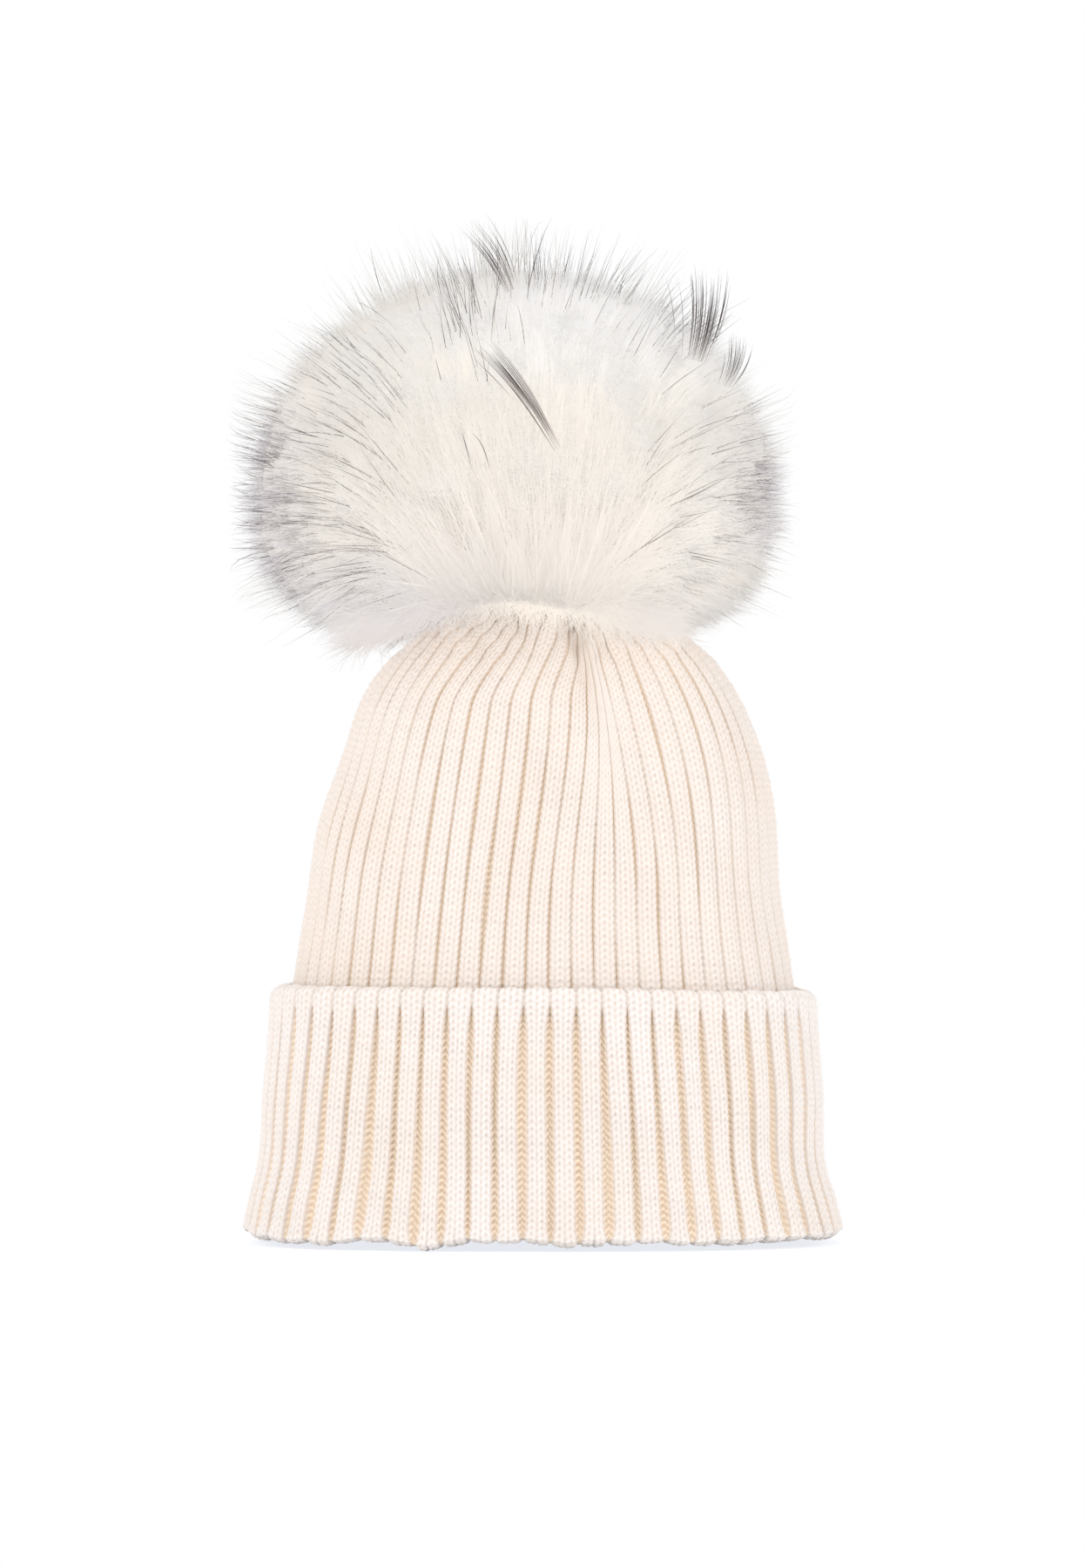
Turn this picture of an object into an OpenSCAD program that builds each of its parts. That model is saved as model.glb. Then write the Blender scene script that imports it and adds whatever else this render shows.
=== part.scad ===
// Rib-knit beanie with a turned-up cuff and a snap-on fur pom pom.
// Millimetres. +Z is up, the front faces -Y, and the origin is the middle of the rim on the surface it stands on.

/* [Hat] */
// Width of the hat across the rim
rim_w = 201.5; // [180:0.5:220]
// Depth of the hat at the rim as a share of its width
rim_round = 0.68; // [0.6:0.01:0.8]
// Height of the knitted hat without the pom pom
hat_h = 210.5; // [195:0.5:235]
// Width of the body where it comes out of the cuff
body_w = 163.5; // [150:0.5:166]
// How much the body narrows towards the crown, as a share of its width
crown_taper = 0.23; // [0.1:0.01:0.3]
// How far the crown leans to the wearer's left of the rim's middle
crown_lean = 3.5; // [0:0.5:6]
// Thickness of the knitted body
body_t = 4; // [3:0.1:5]

/* [Knit ribs] */
// Number of ribs round the hat
rib_count = 60; // [44:4:68]
// Height of a rib above the furrow beside it
rib_h = 1.7; // [0.5:0.1:2]

/* [Turned-up cuff] */
// Height of the cuff
cuff_h = 84.5; // [70:0.5:95]
// Thickness of the cuff's knit
cuff_t = 4.2; // [3:0.1:5]
// Height of the fold under the body's lower edge
fold_h = 5; // [4:0.5:8]
// Space between the body and the cuff at the fold
layer_gap = 0.4; // [0.3:0.1:1]
// Space that the cuff gains from the body towards its upper edge
stand_off = 2.9; // [1:0.1:5]
// Diameter of the thread in the tacks that hold the cuff up
tack_d = 1; // [0.6:0.1:1.4]

/* [Seam and label] */
// Width of the seam inside the back of the hat
seam_w = 3; // [2:0.1:5]
// Depth of the seam inside the back of the hat
seam_t = 1.6; // [1:0.1:2.5]
// Width of the blank care label
label_w = 24; // [15:1:30]
// Length of the blank care label
label_l = 34; // [20:1:40]
// Thickness of the blank care label
label_t = 0.5; // [0.3:0.1:1]
// Height of the thread that the label hangs from
label_z = 62; // [50:1:68]
// Diameter of the thread that the label hangs from
label_thread_d = 0.9; // [0.6:0.1:1.2]

/* [Crown and snap stud] */
// Radius of the hole that the crown's drawstring closes
gather_r = 4; // [3.8:0.1:5]
// Radius of the felt patch inside the crown
patch_r = 13; // [10:0.5:16]
// Thickness of the felt patch
patch_t = 1.5; // [1:0.1:2.5]
// Radius of the snap's flanges
snap_r = 6.5; // [5.5:0.1:7.5]
// Thickness of the snap's flanges
flange_t = 0.8; // [0.6:0.1:1.2]
// Radius of the rivet that joins the stud to its cap
rivet_r = 1.9; // [1.5:0.1:2.1]
// Radius of the stud's head
stud_r = 3.5; // [3.2:0.05:3.8]
// Height of the stud above its flange
stud_h = 2.9; // [2.4:0.1:3.5]
// How far the stud's neck is cut in under its head
neck_cut = 0.35; // [0.2:0.05:0.5]

/* [Pom pom] */
// Radius of the fur's dense wool
fur_r = 84.5; // [70:0.5:86]
// Height of the fur's widest place above the crown
fur_rise = 36.5; // [32:0.5:44]
// Height of the wool above its widest place
fur_up = 69; // [50:0.5:74]
// Depth of the wool below its widest place
fur_down = 53.5; // [48:0.5:56]
// How far the fur hangs to the wearer's right of the snap
fur_shift = 12.5; // [0:0.5:14]
// Length of the guard hair tufts at the fur's side
tuft_side_l = 6; // [4:0.5:7]
// Length of the guard hair tufts at the fur's top
tuft_top_l = 15; // [8:0.5:20]
// Radius of a tuft at its root
tuft_r = 3.2; // [2:0.1:4]
// Space between tufts
tuft_pitch = 19; // [16:0.5:30]
// Radius of the stuffed skin ball
pelt_r = 31; // [26:0.5:36]
// Thickness of the skin
pelt_t = 1.2; // [0.8:0.1:2]
// How far the pom pom nods and sways each way
tilt_max = 8; // [4:1:10]

/* [Pom pom base and snap socket] */
// Radius of the leather disc under the pom pom
disc_r = 15; // [12:0.5:17]
// Thickness of the leather disc
disc_t = 1.5; // [1:0.1:2.5]
// Radius of the thread shank that ties the pom pom to the socket
shank_r = 1.4; // [1:0.1:1.6]
// Height of the socket
socket_h = 3.7; // [3.6:0.1:4.4]
// Wire diameter of the socket's spring ring
spring_d = 0.8; // [0.5:0.1:1]
// Diameter of the sewing threads on the pom pom's base
sewing_d = 0.8; // [0.5:0.1:1]
// Number of stitches round the leather disc
stitch_count = 16; // [8:1:24]

/* [Hidden] */

$fn = 64;
fit = 0.3;          // space between soft pieces that lie on each other
snug = 0.1;         // space round threads and rivets
past = 1;           // how far a cut runs past a face
cream = "#f1e6da";
wool_white = "#efeae2";
tip_grey = "#8d8480";
skin_tan = "#d9c7ae";
nickel = "#b9bcc0";

// --- Shape of the hat -------------------------------------------------------------------------------------------------
squareness = 2.5;   // exponent of the hat's rounded oval outline
dome_power = 6.3;   // how suddenly the crown turns in
flare_power = 1.6;  // how the cuff flares towards the rim
crown_round = 0.22; // how much rounder the crown is than the body's oval, as a share
cuff_round = 0.05;  // how much rounder the cuff is at its upper edge than at the rim, as a share
rib_fade = 2;       // how late the ribs flatten on the crown
lean_from = cuff_h * 1.18;  // height where the lean begins
lean_to = hat_h * 0.89;     // height where it is complete
edge_r = fold_h * 0.6;      // rounding of the fold
lip_r = cuff_t * 0.2;       // rounding of the cuff's upper edge
seam_turn = 40;             // where the seam ends on the crown, as a turn of the dome
steps_round = 2 * rib_count;

function sign_power(v, p) = sign(v) * pow(abs(v), p);
function smooth(v) = let (u = min(1, max(0, v))) u * u * (3 - 2 * u);
function middle(z) = crown_lean * smooth((z - lean_from) / (lean_to - lean_from));
function oval(a) = [sign_power(cos(a), 2 / squareness), sign_power(sin(a), 2 / squareness)];

// The oval's angles at equal steps along the rim, so that the ribs are evenly spaced there.
fine_steps = 720;
fine_rim = [for (i = [0:fine_steps]) let (o = oval(360 * i / fine_steps)) [o.x, rim_round * o.y]];
fine_length = [for (i = 0, s = 0; i <= fine_steps; s = s + (i < fine_steps ? norm(fine_rim[i + 1] - fine_rim[i]) : 0),
               i = i + 1) s];
function fine_angle(s, low = 0, high = fine_steps) =
    high - low < 2
    ? 360 * (low + (s - fine_length[low]) / max(1e-9, fine_length[high] - fine_length[low])) / fine_steps
    : let (mid = floor((low + high) / 2)) fine_length[mid] > s ? fine_angle(s, low, mid) : fine_angle(s, mid, high);
rim_angles = [for (k = [0:steps_round - 1]) fine_angle(k * fine_length[fine_steps] / steps_round)];
outline = [for (a = rim_angles) oval(a)];

// Half width and half depth of the outer faces at a height.
cuff_top_w = body_w + 2 * (cuff_t + layer_gap + stand_off);
function flare(z) = (rim_w - cuff_top_w) / 2 * pow(max(0, 1 - z / cuff_h), flare_power);
function cuff_a(z) = cuff_top_w / 2 + flare(z);
function cuff_b(z) = cuff_a(z) * (rim_round + cuff_round * z / cuff_h);
function body_in(z) = cuff_t + layer_gap + stand_off * z / cuff_h;
function low_body(z, inset) = [cuff_a(z) - body_in(z) - inset, cuff_b(z) - body_in(z) - inset, z];

// The dome above the cuff, as [half width, half depth, height], at a turn from 0 (its foot) to 90 (its top).
dome_b = cuff_b(cuff_h) - body_in(cuff_h);
function dome_share(turn) = pow(sin(turn), 2 / dome_power);
function dome(turn, inset) =
    let (share = dome_share(turn), width = (1 - crown_taper * share) * cos(turn))
    [(body_w / 2 - inset) * width,
     (dome_b - inset) * width * (1 + crown_round * share * share),
     cuff_h + (hat_h - inset - cuff_h) * share];
// Height of the dome at a distance in front of the crown's middle, where it is lowest.
function dome_z(r, inset) =
    dome(acos(r / ((dome_b - inset) * (1 - crown_taper) * (1 + crown_round))), inset).z;

foot_turns = [0.002, 0.05, 0.4, 1.6];
crown_turns = [5, 11, 18, 26, 35, 45, 56, 68, 79];
dome_turns = concat(foot_turns, crown_turns);
low_heights = [fold_h + layer_gap, cuff_h * 0.22, cuff_h * 0.48, cuff_h * 0.76];

// One ring of points: half width, half depth and height, with ribs of a height.
function ring(abz, ribs) =
    [for (k = [0:steps_round - 1])
        let (rib = ribs * (k % 2 == 0 ? 0.5 : -0.5), o = outline[k])
        [middle(abz.z) + (abz.x + rib) * o.x, (abz.y + rib) * o.y, abz.z]];

// A solid between rings that come back to the first one.
module band(rings) {
    n = len(rings);
    m = len(rings[0]);
    polyhedron(
        points = [for (r = rings) each r],
        faces = [for (i = [0:n - 1], k = [0:m - 1])
            let (j = (i + 1) % n, l = (k + 1) % m, a = i * m + k, b = i * m + l, c = j * m + l, d = j * m + k)
            each [[a, d, c], [a, c, b]]],
        convexity = 6);
}

function reversed(list) = [for (i = [len(list) - 1:-1:0]) list[i]];

// --- Hat pieces -------------------------------------------------------------------------------------------------------
crown_hole = [gather_r, gather_r];

module knit_body() {
    outer_low = [for (z = low_heights) ring(low_body(z, 0), 0)];
    outer_dome = [for (a = dome_turns) ring(dome(a, 0), rib_h * min(1, cos(a) * rib_fade) * (a > foot_turns[0] ? 1 : 0))];
    inner_low = [for (z = low_heights) ring(low_body(z, body_t), 0)];
    inner_dome = [for (a = dome_turns) ring(dome(a, body_t), 0)];
    color(cream) band(concat(
        outer_low, outer_dome,
        [ring([each crown_hole, hat_h], 0), ring([each crown_hole, hat_h - body_t], 0)],
        reversed(inner_dome), reversed(inner_low)));
}

module turned_up_cuff() {
    whole_t = cuff_t + layer_gap + body_t;
    function wall(z, inset) = [cuff_a(z) - inset, cuff_b(z) - inset, z];
    outer = [[0, edge_r], [fold_h * 1.2, 0], [cuff_h * 0.2, 0], [cuff_h * 0.4, 0], [cuff_h * 0.62, 0],
             [cuff_h * 0.84, 0], [cuff_h - edge_r, 0]];
    top = [[cuff_h - lip_r, lip_r], [cuff_h, cuff_t / 2], [cuff_h - lip_r, cuff_t - lip_r]];
    inner = [[cuff_h * 0.76, cuff_t], [cuff_h * 0.48, cuff_t], [cuff_h * 0.22, cuff_t], [fold_h, cuff_t],
             [fold_h, whole_t], [edge_r, whole_t], [0, whole_t - edge_r]];
    edge_ribs = rib_h * 0.3;
    function ribs(z) = z <= 0 || z >= cuff_h ? 0 : z < fold_h || z > cuff_h - edge_r ? edge_ribs : rib_h;
    color(cream) band(concat(
        [ring(wall(0, edge_r), 0), ring(wall(edge_r / 2, edge_r * 0.2), edge_ribs)],
        [for (i = [1:len(outer) - 1]) ring(wall(outer[i][0], outer[i][1]), ribs(outer[i][0]))],
        [for (p = top) ring(wall(p[0], p[1]), 0)],
        [for (p = inner) ring(wall(p[0], p[1]), 0)]));
}

// Three thread bars on each side, across the space between the body and the cuff.
tack_z = cuff_h * 0.9;
module cuff_tacks() {
    from_x = low_body(tack_z, 0).x + snug;
    to_x = cuff_a(tack_z) - cuff_t - snug;
    color(cream)
    for (side = [-1, 1], i = [-1:1])
        translate([side * from_x, i * (tack_d + snug), tack_z])
        rotate([0, side * 90, 0])
        cylinder(h = to_x - from_x - 2 * snug, d = tack_d);
}

// The back wall's inner face, from the rim up over the crown.
back_low = [for (z = low_heights) low_body(z, body_t)];
back_dome = [for (a = concat(foot_turns, [for (t = crown_turns) if (t < seam_turn) t])) dome(a, body_t)];
module back_seam() {
    sides = 8;
    path = [for (p = concat(back_low, back_dome)) [middle(p.z), p.y - seam_t / 2 - fit, p.z]];
    last = len(path) - 1;
    color(cream)
    polyhedron(
        points = [for (i = [0:last], s = [0:sides - 1])
            let (ahead = path[min(last, i + 1)] - path[max(0, i - 1)], up = ahead / norm(ahead), out = [0, up.z, -up.y],
                 a = 360 * (s + 0.5) / sides)
            path[i] + [cos(a) * seam_w / 2, 0, 0] + out * sin(a) * seam_t / 2],
        faces = concat(
            [[for (s = [0:sides - 1]) s]],
            [[for (s = [sides - 1:-1:0]) last * sides + s]],
            [for (i = [0:last - 1], s = [0:sides - 1])
                let (t = (s + 1) % sides, a = i * sides + s, b = i * sides + t)
                each [[a, a + sides, b + sides], [a, b + sides, b]]]));
}

// The label hangs beside the seam from a thread along its top edge, which turns in it.
label_x = seam_w + snug;
label_edge = label_x + label_w;
label_wall = low_body(label_z, body_t);
function wall_y(x) = label_wall.y * pow(1 - pow(x / label_wall.x, squareness), 1 / squareness);
label_y = wall_y(label_edge) - fit - label_thread_d;
module label_thread() {
    bar_d = label_thread_d * 0.8;
    color("white") {
        translate([label_x, label_y, label_z]) rotate([0, 90, 0]) cylinder(h = label_w, d = label_thread_d);
        for (x = [label_x + bar_d, label_x + label_w / 2, label_edge - bar_d])
            translate([x, label_y, label_z])
            rotate([-90, 0, 0])
            cylinder(h = wall_y(x + bar_d) - snug - label_y, d = bar_d);
    }
}

module care_label() {
    color("white")
    translate([label_x, label_y - label_t / 2, label_z - label_thread_d / 2 - snug - label_l])
    cube([label_w, label_t, label_l]);
}

// --- Crown and stud ---------------------------------------------------------------------------------------------------
module at_crown(z) {
    translate([crown_lean, 0, z]) children();
}
patch_z = dome_z(patch_r, body_t) - 2 * fit - patch_t;
cap_z = patch_z - snug - flange_t;
stud_z = hat_h + snug;
stud_top = stud_z + flange_t + stud_h;
rivet_top = stud_top - flange_t;

module crown_drawstring() {
    turns = 3;
    wire = min((gather_r - rivet_r) / 2 - snug, (body_t - layer_gap) / turns / 2 - snug / 2);
    color(cream) at_crown(0)
    for (i = [0:turns - 1])
        translate([0, 0, hat_h - body_t / 2 + (i - (turns - 1) / 2) * (2 * wire + snug)])
        rotate_extrude()
        translate([(gather_r + rivet_r) / 2, 0])
        circle(r = wire, $fn = 24);
}

module crown_patch() {
    color("ivory") at_crown(patch_z)
    difference() {
        cylinder(h = patch_t, r = patch_r);
        translate([0, 0, -past]) cylinder(h = patch_t + 2 * past, r = rivet_r + snug);
    }
}

module stud_cap() {
    color(nickel) at_crown(cap_z)
    rotate_extrude()
    polygon([[0, 0], [snap_r - flange_t, 0], [snap_r, flange_t / 2], [snap_r, flange_t], [rivet_r, flange_t],
             [rivet_r, rivet_top - cap_z], [0, rivet_top - cap_z]]);
}

module snap_stud() {
    head_h = stud_h * 0.45;
    bore = rivet_r + snug;
    color(nickel) at_crown(stud_z)
    rotate_extrude()
    polygon([[bore, 0], [snap_r, 0], [snap_r, flange_t], [stud_r - neck_cut, flange_t],
             [stud_r - neck_cut, flange_t + stud_h - head_h], [stud_r, flange_t + stud_h - head_h * 0.6],
             [stud_r, flange_t + stud_h - head_h * 0.4], [stud_r - neck_cut, flange_t + stud_h],
             [0, flange_t + stud_h], [0, rivet_top - stud_z + snug], [bore, rivet_top - stud_z + snug]]);
}

// --- Socket -----------------------------------------------------------------------------------------------------------
socket_z = stud_z + flange_t + fit;
socket_top = socket_z + socket_h;
socket_bore = stud_r + 1.5 * snug;
socket_edge = socket_h / 9;     // rounding of the socket's edges
lead_in = socket_h / 8;         // depth of the socket's mouth before its spring ring
ring_in = stud_r + snug / 2;
ring_mid = ring_in + spring_d / 2;
ring_z = socket_z + lead_in + spring_d / 2;
tilt_both = tilt_max * sqrt(2);             // the lean when the pom pom nods and sways at once
nod_z = socket_top + shank_r + fit / 6;     // the middle of the shank's round foot
disc_z = socket_top + snap_r * tan(tilt_both) + fit;
sway_z = disc_z + disc_t / 2;

module spring_ring() {
    split = 40;
    color("silver") at_crown(ring_z)
    rotate([0, 0, 90 + split / 2])
    rotate_extrude(angle = 360 - split)
    translate([ring_mid, 0]) circle(d = spring_d, $fn = 24);
}

module snap_socket() {
    groove_r = ring_in + spring_d + snug;
    bore_top = stud_top + 1.5 * snug;
    color(nickel) at_crown(0)
    difference() {
        translate([0, 0, socket_z]) rotate_extrude()
        polygon([[0, 0], [snap_r - socket_edge, 0], [snap_r, socket_edge], [snap_r, socket_h - socket_edge],
                 [snap_r - socket_edge, socket_h], [0, socket_h]]);
        translate([0, 0, socket_z - past]) cylinder(h = bore_top - socket_z + past, r = socket_bore);
        translate([0, 0, ring_z - spring_d / 2 - snug]) cylinder(h = spring_d + 2 * snug, r = groove_r);
    }
}

knot_r = shank_r * 1.9;
knot_z = disc_z + disc_t + knot_r * tan(tilt_both) + fit;
knot_h = shank_r * 1.7;
module socket_shank() {
    color("white") {
        at_crown(nod_z) sphere(r = shank_r);
        at_crown(0) rotate_extrude()
        polygon([[0, nod_z], [shank_r, nod_z], [shank_r, knot_z], [knot_r, knot_z],
                 [knot_r, knot_z + knot_h * 0.7], [shank_r, knot_z + knot_h], [0, knot_z + knot_h]]);
    }
}

// --- Pom pom base and skin --------------------------------------------------------------------------------------------
hole_r = shank_r + disc_t * tan(tilt_both) + fit;
mouth_r = disc_r + fit;
stitch_l = disc_r / 6;
knot_room = 1;      // space for the knot to sway in the stuffing
pelt_mid_r = pelt_r - pelt_t / 2;
mouth_mid_r = mouth_r + pelt_t / 2;
pelt_z = sway_z + sqrt(pelt_mid_r * pelt_mid_r - mouth_mid_r * mouth_mid_r);

module leather_disc() {
    color(skin_tan) at_crown(disc_z)
    difference() {
        cylinder(h = disc_t, r = disc_r);
        translate([0, 0, -past]) cylinder(h = disc_t + 2 * past, r = hole_r);
    }
}

module disc_stitches() {
    color("white") at_crown(disc_z - sewing_d / 2 - snug)
    for (i = [0:stitch_count - 1])
        rotate([0, 0, 360 * i / stitch_count])
        translate([disc_r - stitch_l, 0, 0])
        rotate([0, 90, 0])
        cylinder(h = stitch_l, d = sewing_d);
}

module pelt_drawstring() {
    color("white") at_crown(sway_z - disc_t / 2 - sewing_d)
    rotate_extrude()
    translate([mouth_mid_r, 0]) circle(d = sewing_d, $fn = 24);
}

// A ball of skin, gathered round the disc. The ball is cut off level where the drawstring holds it.
module pelt_skin() {
    color(skin_tan) at_crown(pelt_z)
    difference() {
        sphere(r = pelt_r);
        sphere(r = pelt_r - pelt_t);
        translate([0, 0, disc_z - pelt_z - pelt_r]) cylinder(h = pelt_r, r = pelt_r);
        translate([0, 0, disc_z - pelt_z - past]) cylinder(h = disc_t + 2 * past, r = mouth_r);
    }
}

module stuffing() {
    color("white") at_crown(pelt_z)
    difference() {
        sphere(r = pelt_r - pelt_t - fit);
        translate([0, 0, -pelt_r]) cylinder(h = pelt_r - (pelt_z - disc_z - disc_t) + fit, r = pelt_r);
        translate([0, 0, -pelt_r])
        cylinder(h = pelt_r - (pelt_z - knot_z - knot_h) + knot_room, r = knot_r + knot_room);
    }
}

// --- Fur --------------------------------------------------------------------------------------------------------------
fur_x = crown_lean - fur_shift;
fur_z = hat_h + fur_rise;
power_up = 1.02;    // above 1 the fur is fuller than an ellipse
power_down = 1.25;
function fur_point(a) =
    let (power = 1 / (a > 0 ? power_up : power_down))
    [fur_r * pow(abs(cos(a)), power), fur_z + (a > 0 ? fur_up : fur_down) * sign_power(sin(a), power)];
// The crown, turned about the pom pom's pivot to both limits, which the fur stays clear of at every turn.
bowl_gap = 2;
function tilted(p) = [p.x * cos(tilt_both) + (nod_z - p.y) * sin(tilt_both),
                      nod_z - (nod_z - p.y) * cos(tilt_both) + p.x * sin(tilt_both)];
crown_line = [for (a = [10, 18, 27, 37, 48, 60]) let (d = dome(a, 0)) tilted([d.x + rib_h, d.z])];
bowl_inner_r = mouth_mid_r + pelt_t;
thread_foot = disc_z - 2 * sewing_d;

module fur_wool() {
    rows = 28;
    color(wool_white)
    difference() {
        translate([fur_x, 0, 0]) rotate_extrude()
        polygon(concat([[0, fur_z - fur_down]],
                       [for (i = [0:rows]) fur_point(-90 + 180 * (i + 0.001) / (rows + 0.002))],
                       [[0, fur_z + fur_up]]));
        at_crown(0) rotate_extrude()
        polygon(concat([[0, crown_line[0].y]],
                       [for (p = crown_line) [p.x + bowl_gap, p.y + bowl_gap]],
                       [[bowl_inner_r, thread_foot], [bowl_inner_r, sway_z], [0, sway_z]]));
        at_crown(pelt_z) sphere(r = pelt_r + fit);
        at_crown(thread_foot) cylinder(h = pelt_z - disc_z, r = bowl_inner_r);
    }
}

// Tapered tufts that stand on the wool in rows.
first_row = 88;     // place of the top row, as an angle up the wool
last_row = -24;
tuft_tip = 0.12;    // radius of a tuft's tip as a share of its root's
tuft_rows = floor((first_row - last_row) * PI / 180 * (fur_r + fur_up) / 2 / tuft_pitch);
module guard_tufts() {
    color(tip_grey)
    for (row = [0:tuft_rows]) {
        a = first_row - row * (first_row - last_row) / tuft_rows;
        p = fur_point(a);
        up = a > 0 ? fur_up : fur_down;
        slope = atan2(fur_r * sin(a), up * cos(a));
        count = max(1, 2 * floor(PI * p.x / tuft_pitch));
        length = tuft_side_l + (tuft_top_l - tuft_side_l) * pow(max(0, sin(a)), 2);
        for (i = [0:count - 1])
            translate([fur_x, 0, 0])
            rotate([0, 0, 360 * (i + (row % 2) / 2) / count])
            translate([p.x, 0, p.y])
            rotate([0, 90 - slope, 0])
            translate([0, 0, snug])
            cylinder(h = length, r1 = tuft_r, r2 = tuft_r * tuft_tip);
    }
}

knit_body();
turned_up_cuff();
cuff_tacks();
back_seam();
label_thread();
care_label();
crown_drawstring();
crown_patch();
stud_cap();
snap_stud();
spring_ring();
snap_socket();
socket_shank();
leather_disc();
disc_stitches();
pelt_drawstring();
pelt_skin();
stuffing();
fur_wool();
guard_tufts();
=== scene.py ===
"""Rib-knit beanie with a turned-up cuff and a fur pom pom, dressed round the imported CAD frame.

The scene is in metres and the shapes are worked out in millimetres. +Z is up, the front faces -Y, and the origin is the
middle of the rim on the surface it stands on.
"""
import math

import bpy
import numpy as np
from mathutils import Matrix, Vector
from mathutils.bvhtree import BVHTree


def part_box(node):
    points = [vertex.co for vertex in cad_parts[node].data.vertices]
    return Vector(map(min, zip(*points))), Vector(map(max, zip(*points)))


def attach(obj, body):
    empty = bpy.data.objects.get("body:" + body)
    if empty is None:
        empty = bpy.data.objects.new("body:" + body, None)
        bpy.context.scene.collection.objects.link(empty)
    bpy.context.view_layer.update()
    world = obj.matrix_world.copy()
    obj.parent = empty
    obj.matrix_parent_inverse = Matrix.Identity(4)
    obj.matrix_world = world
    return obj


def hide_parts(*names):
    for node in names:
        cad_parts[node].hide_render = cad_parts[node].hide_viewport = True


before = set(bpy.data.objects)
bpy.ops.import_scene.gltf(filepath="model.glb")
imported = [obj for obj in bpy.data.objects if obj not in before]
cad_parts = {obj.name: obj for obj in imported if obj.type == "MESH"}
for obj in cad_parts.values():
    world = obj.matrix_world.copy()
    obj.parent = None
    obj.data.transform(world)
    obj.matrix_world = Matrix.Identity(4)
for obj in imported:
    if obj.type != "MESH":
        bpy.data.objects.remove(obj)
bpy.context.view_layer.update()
MM = 0.001

# --- Image points ---
# The photograph's frame, scaled to a long side of 1568.
W, H = 1085.4, 1568.0
L = max(W, H)
EDGES = {"left_x": 227.4, "right_x": 846.7, "top_y": 212.5, "bottom_y": 1256.0}
POINTS = {
    "cuff_edge_left": (307.0, 982.0),
    "cuff_edge_middle": (545.0, 986.0),
    "cuff_edge_right": (778.0, 992.0),
    "rim_left": (242.0, 1220.0),
    "rim_right": (844.0, 1222.0),
    "crease_top": (578.0, 645.0),
    "crease_foot": (598.0, 735.0),
    "streak_root": (553.0, 440.0),
    "streak_tip": (484.0, 347.0),
    "tuft_root": (697.0, 359.0),
    "tuft_tip": (708.0, 272.0),
    "low_tuft_root": (726.0, 385.0),
    "low_tuft_tip": (739.0, 338.0),
    "top_tuft_root": (511.0, 289.0),
    "top_tuft_tip": (470.0, 225.0),
}

# --- Camera ---
CAMERA_DISTANCE = 3.0
CAMERA_X = -0.0003
CAMERA_Z = 0.1513
LENS = 208.5
SENSOR = 36.0


def make_camera():
    data = bpy.data.cameras.new("camera")
    data.sensor_fit = "AUTO"
    data.sensor_width, data.lens = SENSOR, LENS
    data.clip_start, data.clip_end = 0.05, 50.0
    made = bpy.data.objects.new("camera", data)
    bpy.context.collection.objects.link(made)
    made.location = (CAMERA_X, -CAMERA_DISTANCE, CAMERA_Z)
    made.rotation_euler = (math.pi / 2, 0.0, 0.0)
    bpy.context.scene.camera = made
    bpy.context.view_layer.update()
    return made


camera = make_camera()


def ray_through(x, y):
    """The camera's place and the direction, in the frame's axes, that passes through an image point."""
    data = camera.data
    ray = Vector((x - W / 2 + data.shift_x * L, H / 2 - y + data.shift_y * L, -L * data.lens / data.sensor_width))
    return camera.matrix_world.translation, (camera.matrix_world.to_3x3() @ ray).normalized()


def image_of(points):
    """The image places of an array of points."""
    data = camera.data
    inverse = np.array(camera.matrix_world.inverted())
    local = points @ inverse[:3, :3].T + inverse[:3, 3]
    scale = L * data.lens / data.sensor_width / -local[:, 2]
    return np.stack([local[:, 0] * scale + W / 2 - data.shift_x * L, H / 2 - local[:, 1] * scale + data.shift_y * L], 1)


def world_points(obj):
    points = np.zeros(len(obj.data.vertices) * 3)
    obj.data.vertices.foreach_get("co", points)
    matrix = np.array(obj.matrix_world)
    return points.reshape(-1, 3) @ matrix[:3, :3].T + matrix[:3, 3]


def surface_tree(obj):
    obj.data.calc_loop_triangles()
    faces = np.zeros(len(obj.data.loop_triangles) * 3, dtype=np.int32)
    obj.data.loop_triangles.foreach_get("vertices", faces)
    return BVHTree.FromPolygons(world_points(obj).tolist(), faces.reshape(-1, 3).tolist())


def place_on(tree, name):
    """Where the ray through a named image point meets a surface, or the nearest place to the ray on a miss."""
    origin, direction = ray_through(*POINTS[name])
    hit = tree.ray_cast(origin, direction)[0]
    if hit is None:
        hit = tree.find_nearest(origin + direction * (-origin.y / direction.y))[0]
    return np.array(hit)


# --- Sizes in millimetres: from the frame's boxes, and the values that the CAD was built from ---
CUFF_H, HAT_H, DISC_TOP = (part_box(node)[1][2] / MM for node in ("turned_up_cuff", "knit_body", "leather_disc"))
CROWN_X = sum(corner[0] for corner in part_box("snap_stud")) / 2 / MM
RIM_W = 201.5
RIM_ROUND = 0.68
BODY_W = 163.5
CUFF_T = 4.2
BODY_T = 4.0
LAYER_GAP = 0.4
STAND_OFF = 2.9
CUFF_TOP_W = BODY_W + 2 * (CUFF_T + LAYER_GAP + STAND_OFF)
CROWN_TAPER = 0.23
CROWN_ROUND = 0.22
CUFF_ROUND = 0.05
SQUARENESS = 2.5
DOME_POWER = 6.3
FLARE_POWER = 1.6
LEAN_FROM = CUFF_H * 1.18
LEAN_TO = HAT_H * 0.89

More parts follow.
